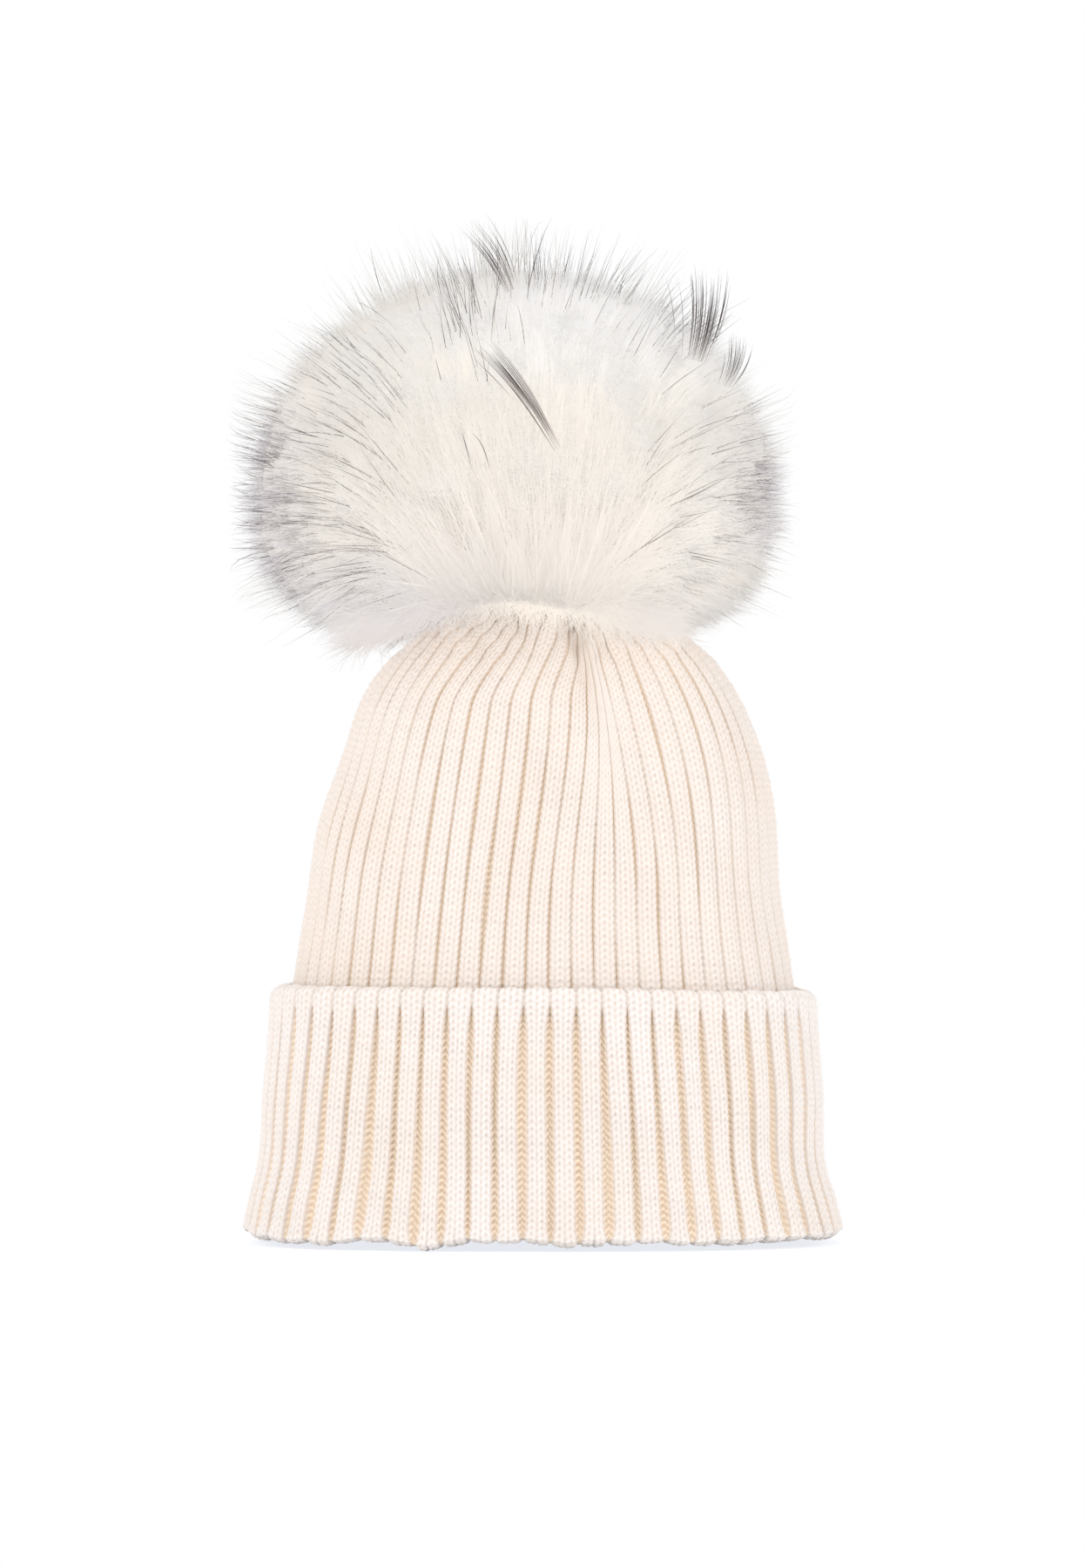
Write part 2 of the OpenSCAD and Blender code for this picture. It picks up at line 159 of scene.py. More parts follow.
RIBS = 60
RIB_PHASE = 0.736       # how far the first furrow is set back from the middle of the right side, in ribs
RIB_TOP = 0.85          # how far a rib's middle stands out of the middle of the wall
WALES = 2               # knit columns on a rib
LEG_STEPS = 3           # columns of points across each leg of a stitch
COURSE = 2.28           # height of a stitch
ROW_STEP = COURSE / 5   # height of a row of points
RELIEF = 0.62           # how far the stitches stand out of their rib
FOOT = 2.2              # height of the fold's middle line, so that the stitches below it reach the floor


# --- Small helpers ---
def smooth(v, low=0.0, high=1.0):
    u = np.clip((v - low) / (high - low), 0.0, 1.0)
    return u * u * (3 - 2 * u)


def bell(v, width=1.0):
    return np.exp(-(v / width) ** 2)


def mix(a, b, share):
    return a + (b - a) * share


def unit(v):
    return v / np.maximum(np.linalg.norm(v, axis=-1, keepdims=True), 1e-9)


def run_length(across, up):
    """The length of a line of points as it runs, from 0 at its start."""
    return np.concatenate([[0], np.cumsum(np.hypot(np.diff(across), np.diff(up)))])


def waves(seed, u, v, count=7, reach_u=5, reach_v=3.0):
    """Smooth noise of about unit size that closes on itself once round in u."""
    rng = np.random.default_rng(seed)
    total = np.zeros(np.broadcast(u, v).shape)
    for _ in range(count):
        turns = rng.integers(-reach_u, reach_u + 1)
        total = total + np.sin(2 * np.pi * (turns * u + rng.uniform(-reach_v, reach_v) * v + rng.uniform()))
    return total / math.sqrt(count / 2)


def rib_noise(seed, rib, v, reach=3.0):
    """Noise along v that is another on each rib."""
    rng = np.random.default_rng(seed)
    phase = rng.uniform(0, 1, (3, RIBS))
    speed = rng.uniform(0.3, 1.0, (3, RIBS)) * reach
    return sum(np.sin(2 * np.pi * (phase[i][rib] + speed[i][rib] * v)) for i in range(3)) / 1.5


def grid(rows, columns, closed=True):
    """Quads of a grid of points, joined round the columns where closed, and their UVs."""
    i, k = np.meshgrid(np.arange(rows - 1), np.arange(columns if closed else columns - 1), indexing="ij")
    right = (k + 1) % columns
    faces = np.stack([i * columns + k, i * columns + right, (i + 1) * columns + right, (i + 1) * columns + k], -1)
    uv = [np.stack([(k + c) / columns, (i + r) / (rows - 1)], -1) for r, c in ((0, 0), (0, 1), (1, 1), (1, 0))]
    return faces.reshape(-1, 4), np.stack(uv, 2).reshape(-1, 4, 2)


def make_object(name, points, faces, material, uv=None, numbers=None):
    """A smooth object from arrays: points in millimetres, quads, their UVs, and numbers on the points."""
    mesh = bpy.data.meshes.new(name)
    mesh.vertices.add(len(points))
    mesh.vertices.foreach_set("co", (points * MM).astype(np.float32).ravel())
    mesh.loops.add(faces.size)
    mesh.loops.foreach_set("vertex_index", faces.astype(np.int32).ravel())
    mesh.polygons.add(len(faces))
    mesh.polygons.foreach_set("loop_start", np.arange(len(faces), dtype=np.int32) * 4)
    mesh.update(calc_edges=True)
    mesh.shade_smooth()
    if uv is not None:
        mesh.uv_layers.new(name="OFBake").data.foreach_set("uv", uv.astype(np.float32).ravel())
    for key, values in (numbers or {}).items():
        mesh.attributes.new(key, "FLOAT", "POINT").data.foreach_set("value", values.astype(np.float32).ravel())
    mesh.materials.append(material)
    obj = bpy.data.objects.new(name, mesh)
    bpy.context.collection.objects.link(obj)
    return obj


# --- Shape of the hat, as in the frame ---
def oval(angle):
    return [np.sign(v) * np.abs(v) ** (2 / SQUARENESS) for v in (np.cos(angle), np.sin(angle))]


OVAL_X, OVAL_Y = oval(np.linspace(0, 2 * np.pi, 14401))
OVAL_LENGTH = run_length(OVAL_X, RIM_ROUND * OVAL_Y)
OVAL_LENGTH = OVAL_LENGTH / OVAL_LENGTH[-1]


def outline(u):
    """The oval's point at a share u of the way round the rim."""
    u = np.mod(u, 1.0)
    return np.interp(u, OVAL_LENGTH, OVAL_X), np.interp(u, OVAL_LENGTH, OVAL_Y)


def middle(z):
    return CROWN_X * smooth(z, LEAN_FROM, LEAN_TO)


def cuff_a(z):
    return CUFF_TOP_W / 2 + (RIM_W - CUFF_TOP_W) / 2 * np.maximum(0.0, 1 - z / CUFF_H) ** FLARE_POWER


def cuff_b(z):
    return cuff_a(z) * (RIM_ROUND + CUFF_ROUND * z / CUFF_H)


def body_in(z):
    return CUFF_T + LAYER_GAP + STAND_OFF * z / CUFF_H


DOME_B = cuff_b(CUFF_H) - body_in(CUFF_H)


def dome_profile(turn, inset):
    """Half width, half depth and height of the dome at a turn from 0, its foot, to a quarter circle, its top."""
    share = np.sin(turn) ** (2 / DOME_POWER)
    width = (1 - CROWN_TAPER * share) * np.cos(turn)
    return ((BODY_W / 2 - inset) * width,
            (DOME_B - inset) * width * (1 + CROWN_ROUND * share * share),
            CUFF_H + (HAT_H - inset - CUFF_H) * share)


def even_rows(a, b, z, across, step):
    """Half widths, half depths and heights at equal steps of the wall's length, and that length."""
    length = run_length(across, z)
    even = np.linspace(0, length[-1], int(length[-1] / step) + 1)
    return [np.interp(even, length, v) for v in (a, b, z)] + [even]


def body_profile(inset, foot, step):
    """The body's wall from a height inside the cuff to the hole in the crown."""
    low_z = np.linspace(foot, CUFF_H, 60)[:-1]
    turn = np.concatenate([np.geomspace(1e-7, 0.05, 160), np.linspace(0.05, math.pi / 2 - 0.045, 300)[1:]])
    low = (cuff_a(low_z) - body_in(low_z) - inset, cuff_b(low_z) - body_in(low_z) - inset, low_z)
    a, b, z = (np.concatenate(pair) for pair in zip(low, dome_profile(turn, inset)))
    return even_rows(a, b, z, a, step)


def cuff_profile(step):
    """The cuff's outside from the wall inside the fold, round the fold, up and over the edge to the lip inside."""
    whole = CUFF_T + LAYER_GAP + BODY_T
    lip_r, fold_r = CUFF_T / 2, whole / 2
    lip, fold = np.linspace(math.pi, 0, 16), np.linspace(math.pi, 0, 24)
    wall = np.linspace(fold_r, CUFF_H - lip_r, 60)[1:-1]
    z = np.concatenate([[fold_r + 3.0], fold_r - (fold_r - FOOT) * np.sin(fold), wall,
                        CUFF_H - lip_r + lip_r * np.sin(lip), [CUFF_H - lip_r, CUFF_H - 14]])
    inset = np.concatenate([[whole], fold_r - fold_r * np.cos(fold), 0 * wall,
                            CUFF_T - lip_r + lip_r * np.cos(lip), [CUFF_T, CUFF_T]])
    return even_rows(cuff_a(z) - inset, cuff_b(z) - inset, z, inset, step)


# --- Knit ---
def rib_columns():
    """Places across one rib, and which lie in a furrow.

    A furrow's own half runs from 0 on its floor to its wall at 1, the wales from 0 to WALES, and the half of the next
    furrow back from -1 to 0.
    """
    wales = np.arange(2 * LEG_STEPS * WALES + 1) / (2 * LEG_STEPS)
    own, following = [0.0, 0.5, 0.86], [-0.86, -0.5]
    return (np.concatenate([own, wales, following]),
            np.array([True] * len(own) + [False] * len(wales) + [True] * len(following)))


def knit(name, profile, furrow_width, furrow_depth, material, seed, turned=1, drift=None, dent=None, lining=False,
         loops_below=None, settle=None, gathered=False):
    """A knitted surface in ribs. Each rib has WALES columns of stitches and a furrow of purl stitches beside it.

    furrow_width and furrow_depth give millimetres from the rib's number and the row's height, drift moves the ribs
    sideways in ribs, dent moves the surface along its normal and adds painted shade, settle moves its points, and
    loops_below gives how far the loops on the fold stand out. turned is -1 where the fabric is upside down. The points
    carry painted shade for the material: darker in the stitches' hollows and tan on the purl stitches in the furrows.
    """
    a, b, z, along = (v[:, None] for v in profile)
    rows = len(z)
    place, is_furrow = rib_columns()
    per_rib = len(place)
    rib = np.repeat(np.arange(RIBS), per_rib)[None, :]
    place, is_furrow = np.tile(place, RIBS)[None, :], np.tile(is_furrow, RIBS)[None, :]
    is_next = is_furrow & (place < 0)
    v = z / HAT_H
    pitch = np.pi * (1.5 * (a + b) - np.sqrt(a * b)) * 1.06 / RIBS

    share_wide = np.clip(furrow_width(rib, z) / pitch, 0.03, 0.6)
    next_wide = np.roll(share_wide, -per_rib, axis=1)
    start, end = share_wide / 2, 1 - next_wide / 2
    across = np.where(is_furrow, np.where(place >= 0, place * start, 1 + place * next_wide / 2),
                      start + (end - start) * place / WALES)
    u = (rib + across - RIB_PHASE) / RIBS
    squeezed = 1.0
    if drift:
        half = 0.5 / RIBS
        squeezed = np.clip(1 + (drift(u + half, z) - drift(u - half, z)) / (2 * half) / RIBS, 0.2, 1.0)
        u = u + drift(u, z) / RIBS

    depth = furrow_depth(rib, z)
    depth = np.where(is_next, np.roll(depth, -per_rib, axis=1), depth)
    wide_here = np.where(is_next, next_wide, share_wide) * pitch
    open_share = smooth(wide_here, 0.2, 0.75)

    course = along / COURSE + rib_noise(seed, rib, v) * 0.25
    wale = np.minimum(np.floor(place), WALES - 1)
    side = np.abs((place - wale) * 2 - 1)
    leg = 1 - (2 * side - 1) ** 2
    grain = (0.5 + 0.5 * np.cos(2 * np.pi * (course - turned * 0.5 * side))) ** 0.7
    loose = 1 + 0.2 * waves(seed + 1, u * 3, v * 9, reach_u=9, reach_v=9.0)
    stitch = RELIEF * (leg * (0.5 + 0.5 * grain) + 0.45 * grain * (1 - leg) - 0.35) * loose
    if loops_below:
        loop = np.abs(np.sin(np.pi * place)) ** 0.6 * (0.7 + 0.4 * rib_noise(seed + 2, rib, 9 * wale))
        stitch = stitch + loops_below(z) * loop
    off_middle = place / WALES * 2 - 1
    round_top = 1.0 - 0.8 * np.abs(off_middle) ** 2.8
    if gathered:
        round_top = round_top * (1 + 0.4 * smooth(z, HAT_H * 0.86, HAT_H * 0.96))
    bar = np.sin(2 * np.pi * (course - turned * 0.7 * np.abs(place)))
    purl = 0.5 * bar * (np.abs(place) < 0.8) * np.minimum(1.0, wide_here / 2.0)
    on_wall = np.abs(place) > 0.8
    groove = 0.2 + (-depth * np.where(on_wall, 0.4, 1.0) + purl) * open_share
    height = np.where(is_furrow, groove, RIB_TOP * round_top + stitch) * np.minimum(1.0, pitch / 4.0) * squeezed
    if lining:
        height = -height

    # Painted shade for the material: the hollow numbers darken the stitches' valleys and the purl bars, and the furrow
    # numbers tint the purl stitches tan.
    valley = (1 - grain) * (1 - 0.75 * leg) + 0.25 * (1 - leg) + 0.3 * off_middle ** 6
    hollow_shade = np.where(is_furrow, 0.45 - 0.45 * bar, valley)
    # The painted shade fades out at the fold's foot.
    if loops_below:
        hollow_shade = hollow_shade * smooth(z, 0.5, 6.0)
    hollow_shade = hollow_shade * squeezed
    furrow = np.where(is_furrow, open_share * np.where(on_wall, 0.5, 1.0), 0.0)
    rib_edge = np.where(is_furrow, 0.0, off_middle ** 6 * np.sign(off_middle))
    u = u + rib_edge * (grain - 0.5) * 0.28 / pitch / RIBS * open_share

    def wall(u, shift):
        x, y = outline(u)
        index = np.clip(np.arange(rows) + shift, 0, rows - 1)
        level = z[index]
        return np.stack([middle(level) + a[index] * x, b[index] * y, np.broadcast_to(level, x.shape)], -1)

    points = wall(u, 0)
    step = 0.25 / RIBS
    normal = unit(np.cross(wall(u + step, 0) - wall(u - step, 0), wall(u, 1) - wall(u, -1)))
    shift = settle(points) if settle else 0.0
    if dent:
        moved, shade = dent(points)
        height = height + moved
        hollow_shade = hollow_shade + shade
    points = points + normal * height[..., None] + shift
    faces, uv = grid(rows, RIBS * per_rib)
    if lining:
        faces, uv = faces[:, ::-1], uv[:, ::-1]
    return make_object(name, points.reshape(-1, 3), faces, material, uv,
                       {"furrow": furrow, "hollow_shade": np.clip(hollow_shade, 0, 1)})


def crease_x(z):
    """Where the crown's crease runs on the front, through its two image points."""
    return mix(CREASE_FOOT[0], CREASE_TOP[0], (z - CREASE_FOOT[2]) / (CREASE_TOP[2] - CREASE_FOOT[2]))


def crown_dent(p):
    """The crease in the front of the crown, the soft rolls beside it and the ribs bunched at the top, and painted shade
    along the crease.
    """
    x, y, z = np.moveaxis(p, -1, 0)
    front = smooth(-y, 4.0, 22.0)
    high = smooth(z, HAT_H * 0.72, HAT_H * 0.94)
    off = x - crease_x(z)
    crease = high * bell(off, mix(5.5, 2.8, high))
    roll = 2.8 * high * (bell(off + 10, 7.5) + 0.5 * bell(off - 9, 6.0))
    bunch = 1.1 * bell(z - HAT_H * 0.95, 7.0) * smooth(-off, 0.0, 8.0) * smooth(x, -60.0, -35.0)
    soft = 0.5 * waves(41, x / 160, z / 90, reach_u=3, reach_v=2.0)
    moved = front * (roll + bunch - 2.5 * crease) + soft * smooth(z, CUFF_H, CUFF_H + 40)
    # The second value is painted shade, darker along the crease.
    return moved, front * 0.3 * crease


def cuff_dent(p):
    """The cuff stands nearly upright and flares only near its foot."""
    x, _, z = np.moveaxis(p, -1, 0)
    return -mix(2.2, 3.4, smooth(x, 20, 90)) * bell(z - 27.0, 17.0) - 0.9 * (1 - smooth(z, 4, 20)), 0.0


def cuff_settle(p):
    """The cuff's free edge hangs a little lower to the right and at both corners, and its foot is uneven."""
    x, y, z = np.moveaxis(p, -1, 0)
    droop = 1.7 * smooth(x, 0, 90) + 3.8 * smooth(np.abs(x), 82, 99)
    foot = 0.45 * waves(53, x / 200, y / 200, 9, 9, 9.0)
    down = droop * smooth(z, CUFF_H * 0.4, CUFF_H) + foot * (1 - smooth(z, 3.0, 16.0))
    corner = smooth(np.abs(x), 90, 101) * (1 - smooth(z, 0.0, 9.0))
    return np.stack([-np.sign(x) * 1.4 * corner, x * 0, 2.2 * corner - down], -1)


def pucker(p):
    """Small sideways folds where the ribs are gathered at the top."""
    x, y, z = np.moveaxis(p, -1, 0)
    size = 0.7 * smooth(z, HAT_H * 0.88, HAT_H * 0.97)
    return np.stack([size * waves(51, x / 40, z / 30), size * 0, 0.6 * size * waves(52, x / 30, y / 30)], -1)


def crown_drift(u, z):
    """How far the body's ribs wander sideways, in ribs: pressed together beside the crease, and a little loose."""
    x = outline(u)[0] * BODY_W / 2
    turn = np.mod(u, 1.0)
    front = smooth(turn, 0.5, 0.56) * (1 - smooth(turn, 0.94, 1.0))
    high = smooth(z, HAT_H * 0.55, HAT_H * 0.95)
    off = x - 18
    toward = -np.tanh(off / mix(9.0, 16.0, smooth(off, -10, 10))) * bell(off, 44)
    toward = toward * mix(0.8, 2.1, smooth(off, -5, 15))
    lean = 1.6 * smooth(z, HAT_H * 0.84, HAT_H * 0.97) * smooth(-off, 0.0, 25.0) * smooth(x, -75.0, -40.0)
    return front * (high * toward + lean) + 0.07 * waves(31, u, z / 140, reach_u=6, reach_v=1.3)


def cuff_drift(u, z):
    return 0.05 * waves(32, u, z / 120, reach_u=7, reach_v=1.2)


def body_furrow(rib, z):
    wide = 0.5 + 0.3 * rib_noise(61, rib, z / 170) + 1.0 * bell(rib - RIBS * 0.72, 3.0) * bell(z - 122, 34)
    return np.maximum(0.3, wide) * (1 - 0.5 * smooth(z, HAT_H * 0.9, HAT_H))


def body_depth(rib, z):
    return np.minimum(0.85, 0.2 + 0.45 * body_furrow(rib, z)) * (1 - 0.85 * smooth(z, HAT_H * 0.84, HAT_H * 0.95))


def cuff_furrow(rib, z):
    wide = 2.0 + 0.65 * rib_noise(71, rib, z / 160, reach=1.5) + 1.0 * (1 - z / CUFF_H)
    return np.maximum(0.9, wide) * smooth(CUFF_H - z, 2.4, 15.0) ** 0.7 * mix(0.35, 1.0, smooth(z, 1.5, 9.0))


def cuff_depth(rib, z):
    return 1.1 * smooth(CUFF_H - z, 2.4, 8.0) * smooth(z, 1.5, 9.0)


def fold_loops(z):
    return 0.5 * (1 - smooth(z, 3.0, 9.0))


# --- Materials ---
def linear(red, green, blue):
    """A colour from its values on the screen, 0 to 255."""
    return tuple(((c / 255 + 0.055) / 1.055) ** 2.4 for c in (red, green, blue)) + (1.0,)


class Nodes:
    """The node tree of a new material or of the world, with short calls that add and join nodes."""

    def __init__(self, owner):
        self.owner = bpy.data.materials.new(owner) if isinstance(owner, str) else owner
        self.owner.use_nodes = True
        self.tree = self.owner.node_tree
        self.shader = self.tree.nodes.get("Principled BSDF")

    def add(self, kind, inputs=None, **settings):
        node = self.tree.nodes.new("ShaderNode" + kind)
        for key, value in settings.items():
            setattr(node, key, value)
        for key, value in (inputs or {}).items():
            self.set(node.inputs[key], value)
        return node

    def set(self, socket, value):
        if isinstance(value, bpy.types.NodeSocket):
            self.tree.links.new(value, socket)
        else:
            socket.default_value = value

    def place(self):
        return self.add("TexCoord").outputs["Object"]

    def attribute(self, name):
        return self.add("Attribute", attribute_name=name).outputs["Fac"]

    def noise(self, scale, detail=3.0, rough=0.5, stretch=None):
        vector = self.place()
        if stretch:
            vector = self.add("Mapping", {"Vector": vector, "Scale": stretch}).outputs["Vector"]
        inputs = {"Vector": vector, "Scale": scale, "Detail": detail, "Roughness": rough}
        return self.add("TexNoise", inputs).outputs["Fac"]

    def math(self, operation, a, b=0.0, clamp=False):
        return self.add("Math", {0: a, 1: b}, operation=operation, use_clamp=clamp).outputs[0]

    def mixed(self, share, a, b, blend="MIX"):
        return self.add("Mix", {0: share, 6: a, 7: b}, data_type="RGBA", blend_type=blend).outputs[2]

    def range(self, value, low, high, to_low=0.0, to_high=1.0):
        inputs = {"Value": value, "From Min": low, "From Max": high, "To Min": to_low, "To Max": to_high}
        return self.add("MapRange", inputs).outputs["Result"]

    def ramp(self, value, stops):
        node = self.add("ValToRGB", {"Fac": value})
        elements = node.color_ramp.elements
        while len(elements) < len(stops):
            elements.new(0.5)
        for element, (position, color) in zip(elements, stops):
            element.position, element.color = position, linear(*color)
        return node.outputs["Color"]

    def bump(self, height, strength, distance):
        node = self.add("Bump", {"Height": height, "Strength": strength, "Distance": distance})
        self.set(self.shader.inputs["Normal"], node.outputs["Normal"])

    def finish(self, color, rough, **sockets):
        names = {"metal": "Metallic", "sheen": "Sheen Weight", "sheen_rough": "Sheen Roughness",
                 "specular": "Specular IOR Level"}
        self.set(self.shader.inputs["Base Color"], color)
        self.set(self.shader.inputs["Roughness"], rough)
        for key, value in sockets.items():
            self.set(self.shader.inputs[names[key]], value)
        return self.owner

    def show(self, share, first, second):
        """Shows a mix of two shaders, all second where share is 1, and returns the material or world."""
        node = self.add("MixShader", {0: share, 1: first.outputs[0], 2: second.outputs[0]})
        output = next(n for n in self.tree.nodes if n.bl_idname.startswith("ShaderNodeOutput"))
        self.set(output.inputs["Surface"], node.outputs[0])
        return self.owner


# The yarn's colours. The furrow tan and the hollow tint are painted shade, in the furrows and in the stitches' hollows.
KNIT_CREAM = linear(230, 226, 225)
KNIT_WARM = linear(229, 223, 219)
# KNIT_SHADED is painted shade: with KNIT_WARM it makes the body's copy of the yarn darker than the cuff's.
KNIT_SHADED = linear(227, 218, 211)
FURROW_SHADE_TAN = linear(237, 219, 196)
HOLLOW_SHADE_TINT = linear(226, 210, 193)
FIBRE_TAN = linear(214, 196, 176)


def knit_material(name, first, second, shade=1.0):
    """Cream yarn with loose fibres and soft sheen, and painted shade: warmer and darker in the stitches' hollows,
    and tan on the purl stitches.
    """
    n = Nodes(name)
    patches = n.range(n.noise(28.0, 2.0), 0.3, 0.7)
    fibres = n.range(n.noise(2600.0, 4.0, 0.7), 0.25, 0.75)
    yarn = n.mixed(patches, first, second)
    # Painted shade: tan on the furrows and darker in the stitches' hollows, scaled by shade.
    yarn = n.mixed(n.math("MULTIPLY", n.attribute("furrow"), 0.9 * shade, clamp=True), yarn, FURROW_SHADE_TAN)
    yarn = n.mixed(n.math("MULTIPLY", n.attribute("hollow_shade"), 0.74 * shade, clamp=True), yarn, HOLLOW_SHADE_TINT, "MULTIPLY")
    yarn = n.mixed(n.math("MULTIPLY", fibres, 0.10), yarn, FIBRE_TAN)
    n.bump(fibres, 0.35, 0.0002)
    return n.finish(yarn, n.range(fibres, 0.0, 1.0, 0.78, 0.95), sheen=0.25, sheen_rough=0.5, specular=0.25)


def plain_fabric(name, first, second, scale, rough, bump):
    n = Nodes(name)
    grain = n.noise(scale, 4.0, 0.6)
    n.bump(grain, bump, 0.0003)
    return n.finish(n.mixed(grain, linear(*first), linear(*second)), rough, sheen=0.2)


def satin_material():
    n = Nodes("satin_label")
    weave = n.noise(1500.0, 3.0, 0.6, (1.0, 1.0, 0.25))
    n.bump(weave, 0.25, 0.0002)
    return n.finish(n.mixed(weave, linear(246, 243, 236), linear(232, 227, 217)), 0.38, sheen=0.3)


def leather_material(name, first, second):
    n = Nodes(name)
    cells = n.add("TexVoronoi", {"Vector": n.place(), "Scale": 1400.0}).outputs["Distance"]
    n.bump(cells, 0.4, 0.0003)
    return n.finish(n.mixed(n.noise(120.0, 4.0), linear(*first), linear(*second)), n.range(cells, 0.0, 1.0, 0.5, 0.75))


def metal_material(name, color, rough):
    n = Nodes(name)
    scratches = n.noise(3000.0, 3.0, 0.6, (1.0, 1.0, 0.08))
    n.bump(scratches, 0.08, 0.0001)
    wear = n.mixed(n.range(n.noise(500.0), 0.4, 0.7, 0.0, 0.35), linear(*color), linear(150, 148, 145))
    return n.finish(wear, n.range(scratches, 0.0, 1.0, rough, rough + 0.18), metal=1.0)


def wool_material():
    """Short wool: ivory low on the pom pom, a little darker there as painted shade, and near white on top."""
    n = Nodes("wool")
    depth = n.range(n.noise(260.0, 4.0, 0.65), 0.3, 0.7)
    n.bump(n.math("ADD", depth, n.noise(1500.0, 3.0, 0.7)), 0.8, 0.002)
    height = n.add("SeparateXYZ", {"Vector": n.place()}).outputs["Z"]
    pale = n.mixed(depth, linear(236, 231, 225), linear(243, 238, 232))
    # Painted shade: the wool low on the pom pom is a little darker.
    shaded = n.mixed(n.range(height, 0.202, 0.262), linear(237, 232, 226), pale)
    return n.finish(n.mixed(n.range(height, 0.27, 0.31), shaded, linear(248, 247, 246)), 0.95, sheen=0.2)


# The hair's palette, from grey white, ivory, cream and white to banded grey-brown and dark: each stop's place, and the
# colours of a hair's root, middle and tip there. The grey white at 0 is painted shade, for the hair under the pom pom's
# lower sides.
PALETTE = (
    (0.0, (207, 203, 202), (212, 209, 209), (218, 217, 221)),
    (0.13, (222, 218, 213), (226, 222, 217), (230, 227, 222)),
    (0.33, (241, 236, 229), (242, 237, 230), (243, 240, 236)),
    (0.5, (248, 246, 245), (249, 248, 248), (250, 250, 252)),
    (0.7, (238, 232, 228), (118, 104, 103), (236, 233, 238)),
    (1.0, (216, 208, 204), (74, 66, 66), (56, 48, 48)))
BANDED, DARK = 0.6, 0.68            # where the banded and the dark hairs' places on the palette start


def fur_material():
    """Hair coloured by its place on the palette and along its length, and lit a little through."""
    n = Nodes("fur")
    split = n.add("SeparateXYZ", {"Vector": n.add("UVMap", uv_map="OFBake").outputs["UV"]})
    tone, along = split.outputs["X"], split.outputs["Y"]
    roots, middles, tips = (n.ramp(tone, [(stop[0], stop[part]) for stop in PALETTE]) for part in (1, 2, 3))
    lower = n.mixed(n.range(along, 0.3, 0.72), roots, middles)
    color = n.mixed(n.range(along, 0.76, 0.98), lower, tips)
    n.finish(color, 0.62, specular=0.3)
    return n.show(0.4, n.shader, n.add("BsdfTranslucent", {"Color": color}))


# --- Build the knit ---
def dress(obj, body, slot_name, *nodes):
    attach(obj, body)
    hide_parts(*nodes)
    return obj


crown_tree = surface_tree(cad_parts["knit_body"])
CREASE_TOP, CREASE_FOOT = (place_on(crown_tree, name) / MM for name in ("crease_top", "crease_foot"))
# The body's yarn is a darker copy of the cuff's, painted shade, and the inside has weaker painted shade in its furrows
# and hollows.
knit_outside = knit_material("cream_knit", KNIT_WARM, KNIT_SHADED)
knit_cuff = knit_material("cream_knit_cuff", KNIT_CREAM, KNIT_WARM)
knit_inside = knit_material("cream_knit_inside", KNIT_CREAM, KNIT_WARM, 0.7)
body = knit("knit_body_outside", body_profile(0.0, CUFF_H * 0.8, ROW_STEP), body_furrow, body_depth, knit_outside, 11,
            drift=crown_drift, dent=crown_dent, settle=pucker, gathered=True)
dress(body, "hat", "knit", "knit_body")
lining = knit("knit_body_inside", body_profile(BODY_T, 5.0, COURSE), lambda rib, z: 1.3 + 0 * z,
              lambda rib, z: 1.2 + 0 * z, knit_inside, 13, lining=True)
dress(lining, "hat", "knit", "knit_body")
cuff = knit("turned_up_cuff_knit", cuff_profile(ROW_STEP), cuff_furrow, cuff_depth, knit_cuff, 12, turned=-1,
            drift=cuff_drift, dent=cuff_dent, loops_below=fold_loops, settle=cuff_settle)
dress(cuff, "hat", "knit", "turned_up_cuff")


def seam_ridge():
    """The overlocked seam up the inside of the back, with its looped edge."""
    low_z = np.linspace(6.0, CUFF_H, 60)[:-1]
    _, b, z = dome_profile(np.linspace(0.0, math.pi / 2 * 0.93, 200), BODY_T)
    y = np.concatenate([cuff_b(low_z) - body_in(low_z) - BODY_T, b]) - 1.2
    z = np.concatenate([low_z, z])
    length = run_length(y, z)
    even = np.arange(0, length[-1], 0.45)
    y, z = np.interp(even, length, y), np.interp(even, length, z)
    up = unit(np.stack([np.gradient(y), np.gradient(z)], 1))
    turn = np.linspace(0, 2 * np.pi, 17)[:-1][None, :]
    loop = np.sin(2 * np.pi * even[:, None] / 2.1 + 2.0 * np.sin(turn))
    across = np.cos(turn) * (1.45 + 0.25 * loop)
    out = np.sin(turn) * (0.75 + 0.15 * loop)
    points = np.stack([middle(z)[:, None] + across, y[:, None] + out * up[:, 1:], z[:, None] - out * up[:, :1]], -1)
    # Painted shade for the material: a little tan over the whole seam, and darker in its loops' hollows.
    numbers = {"furrow": np.full(loop.shape, 0.15), "hollow_shade": 0.5 - 0.5 * loop}
    faces, uv = grid(*loop.shape)
    return make_object("back_seam_overlock", points.reshape(-1, 3), faces, knit_inside, uv, numbers)


dress(seam_ridge(), "hat", "knit", "back_seam")


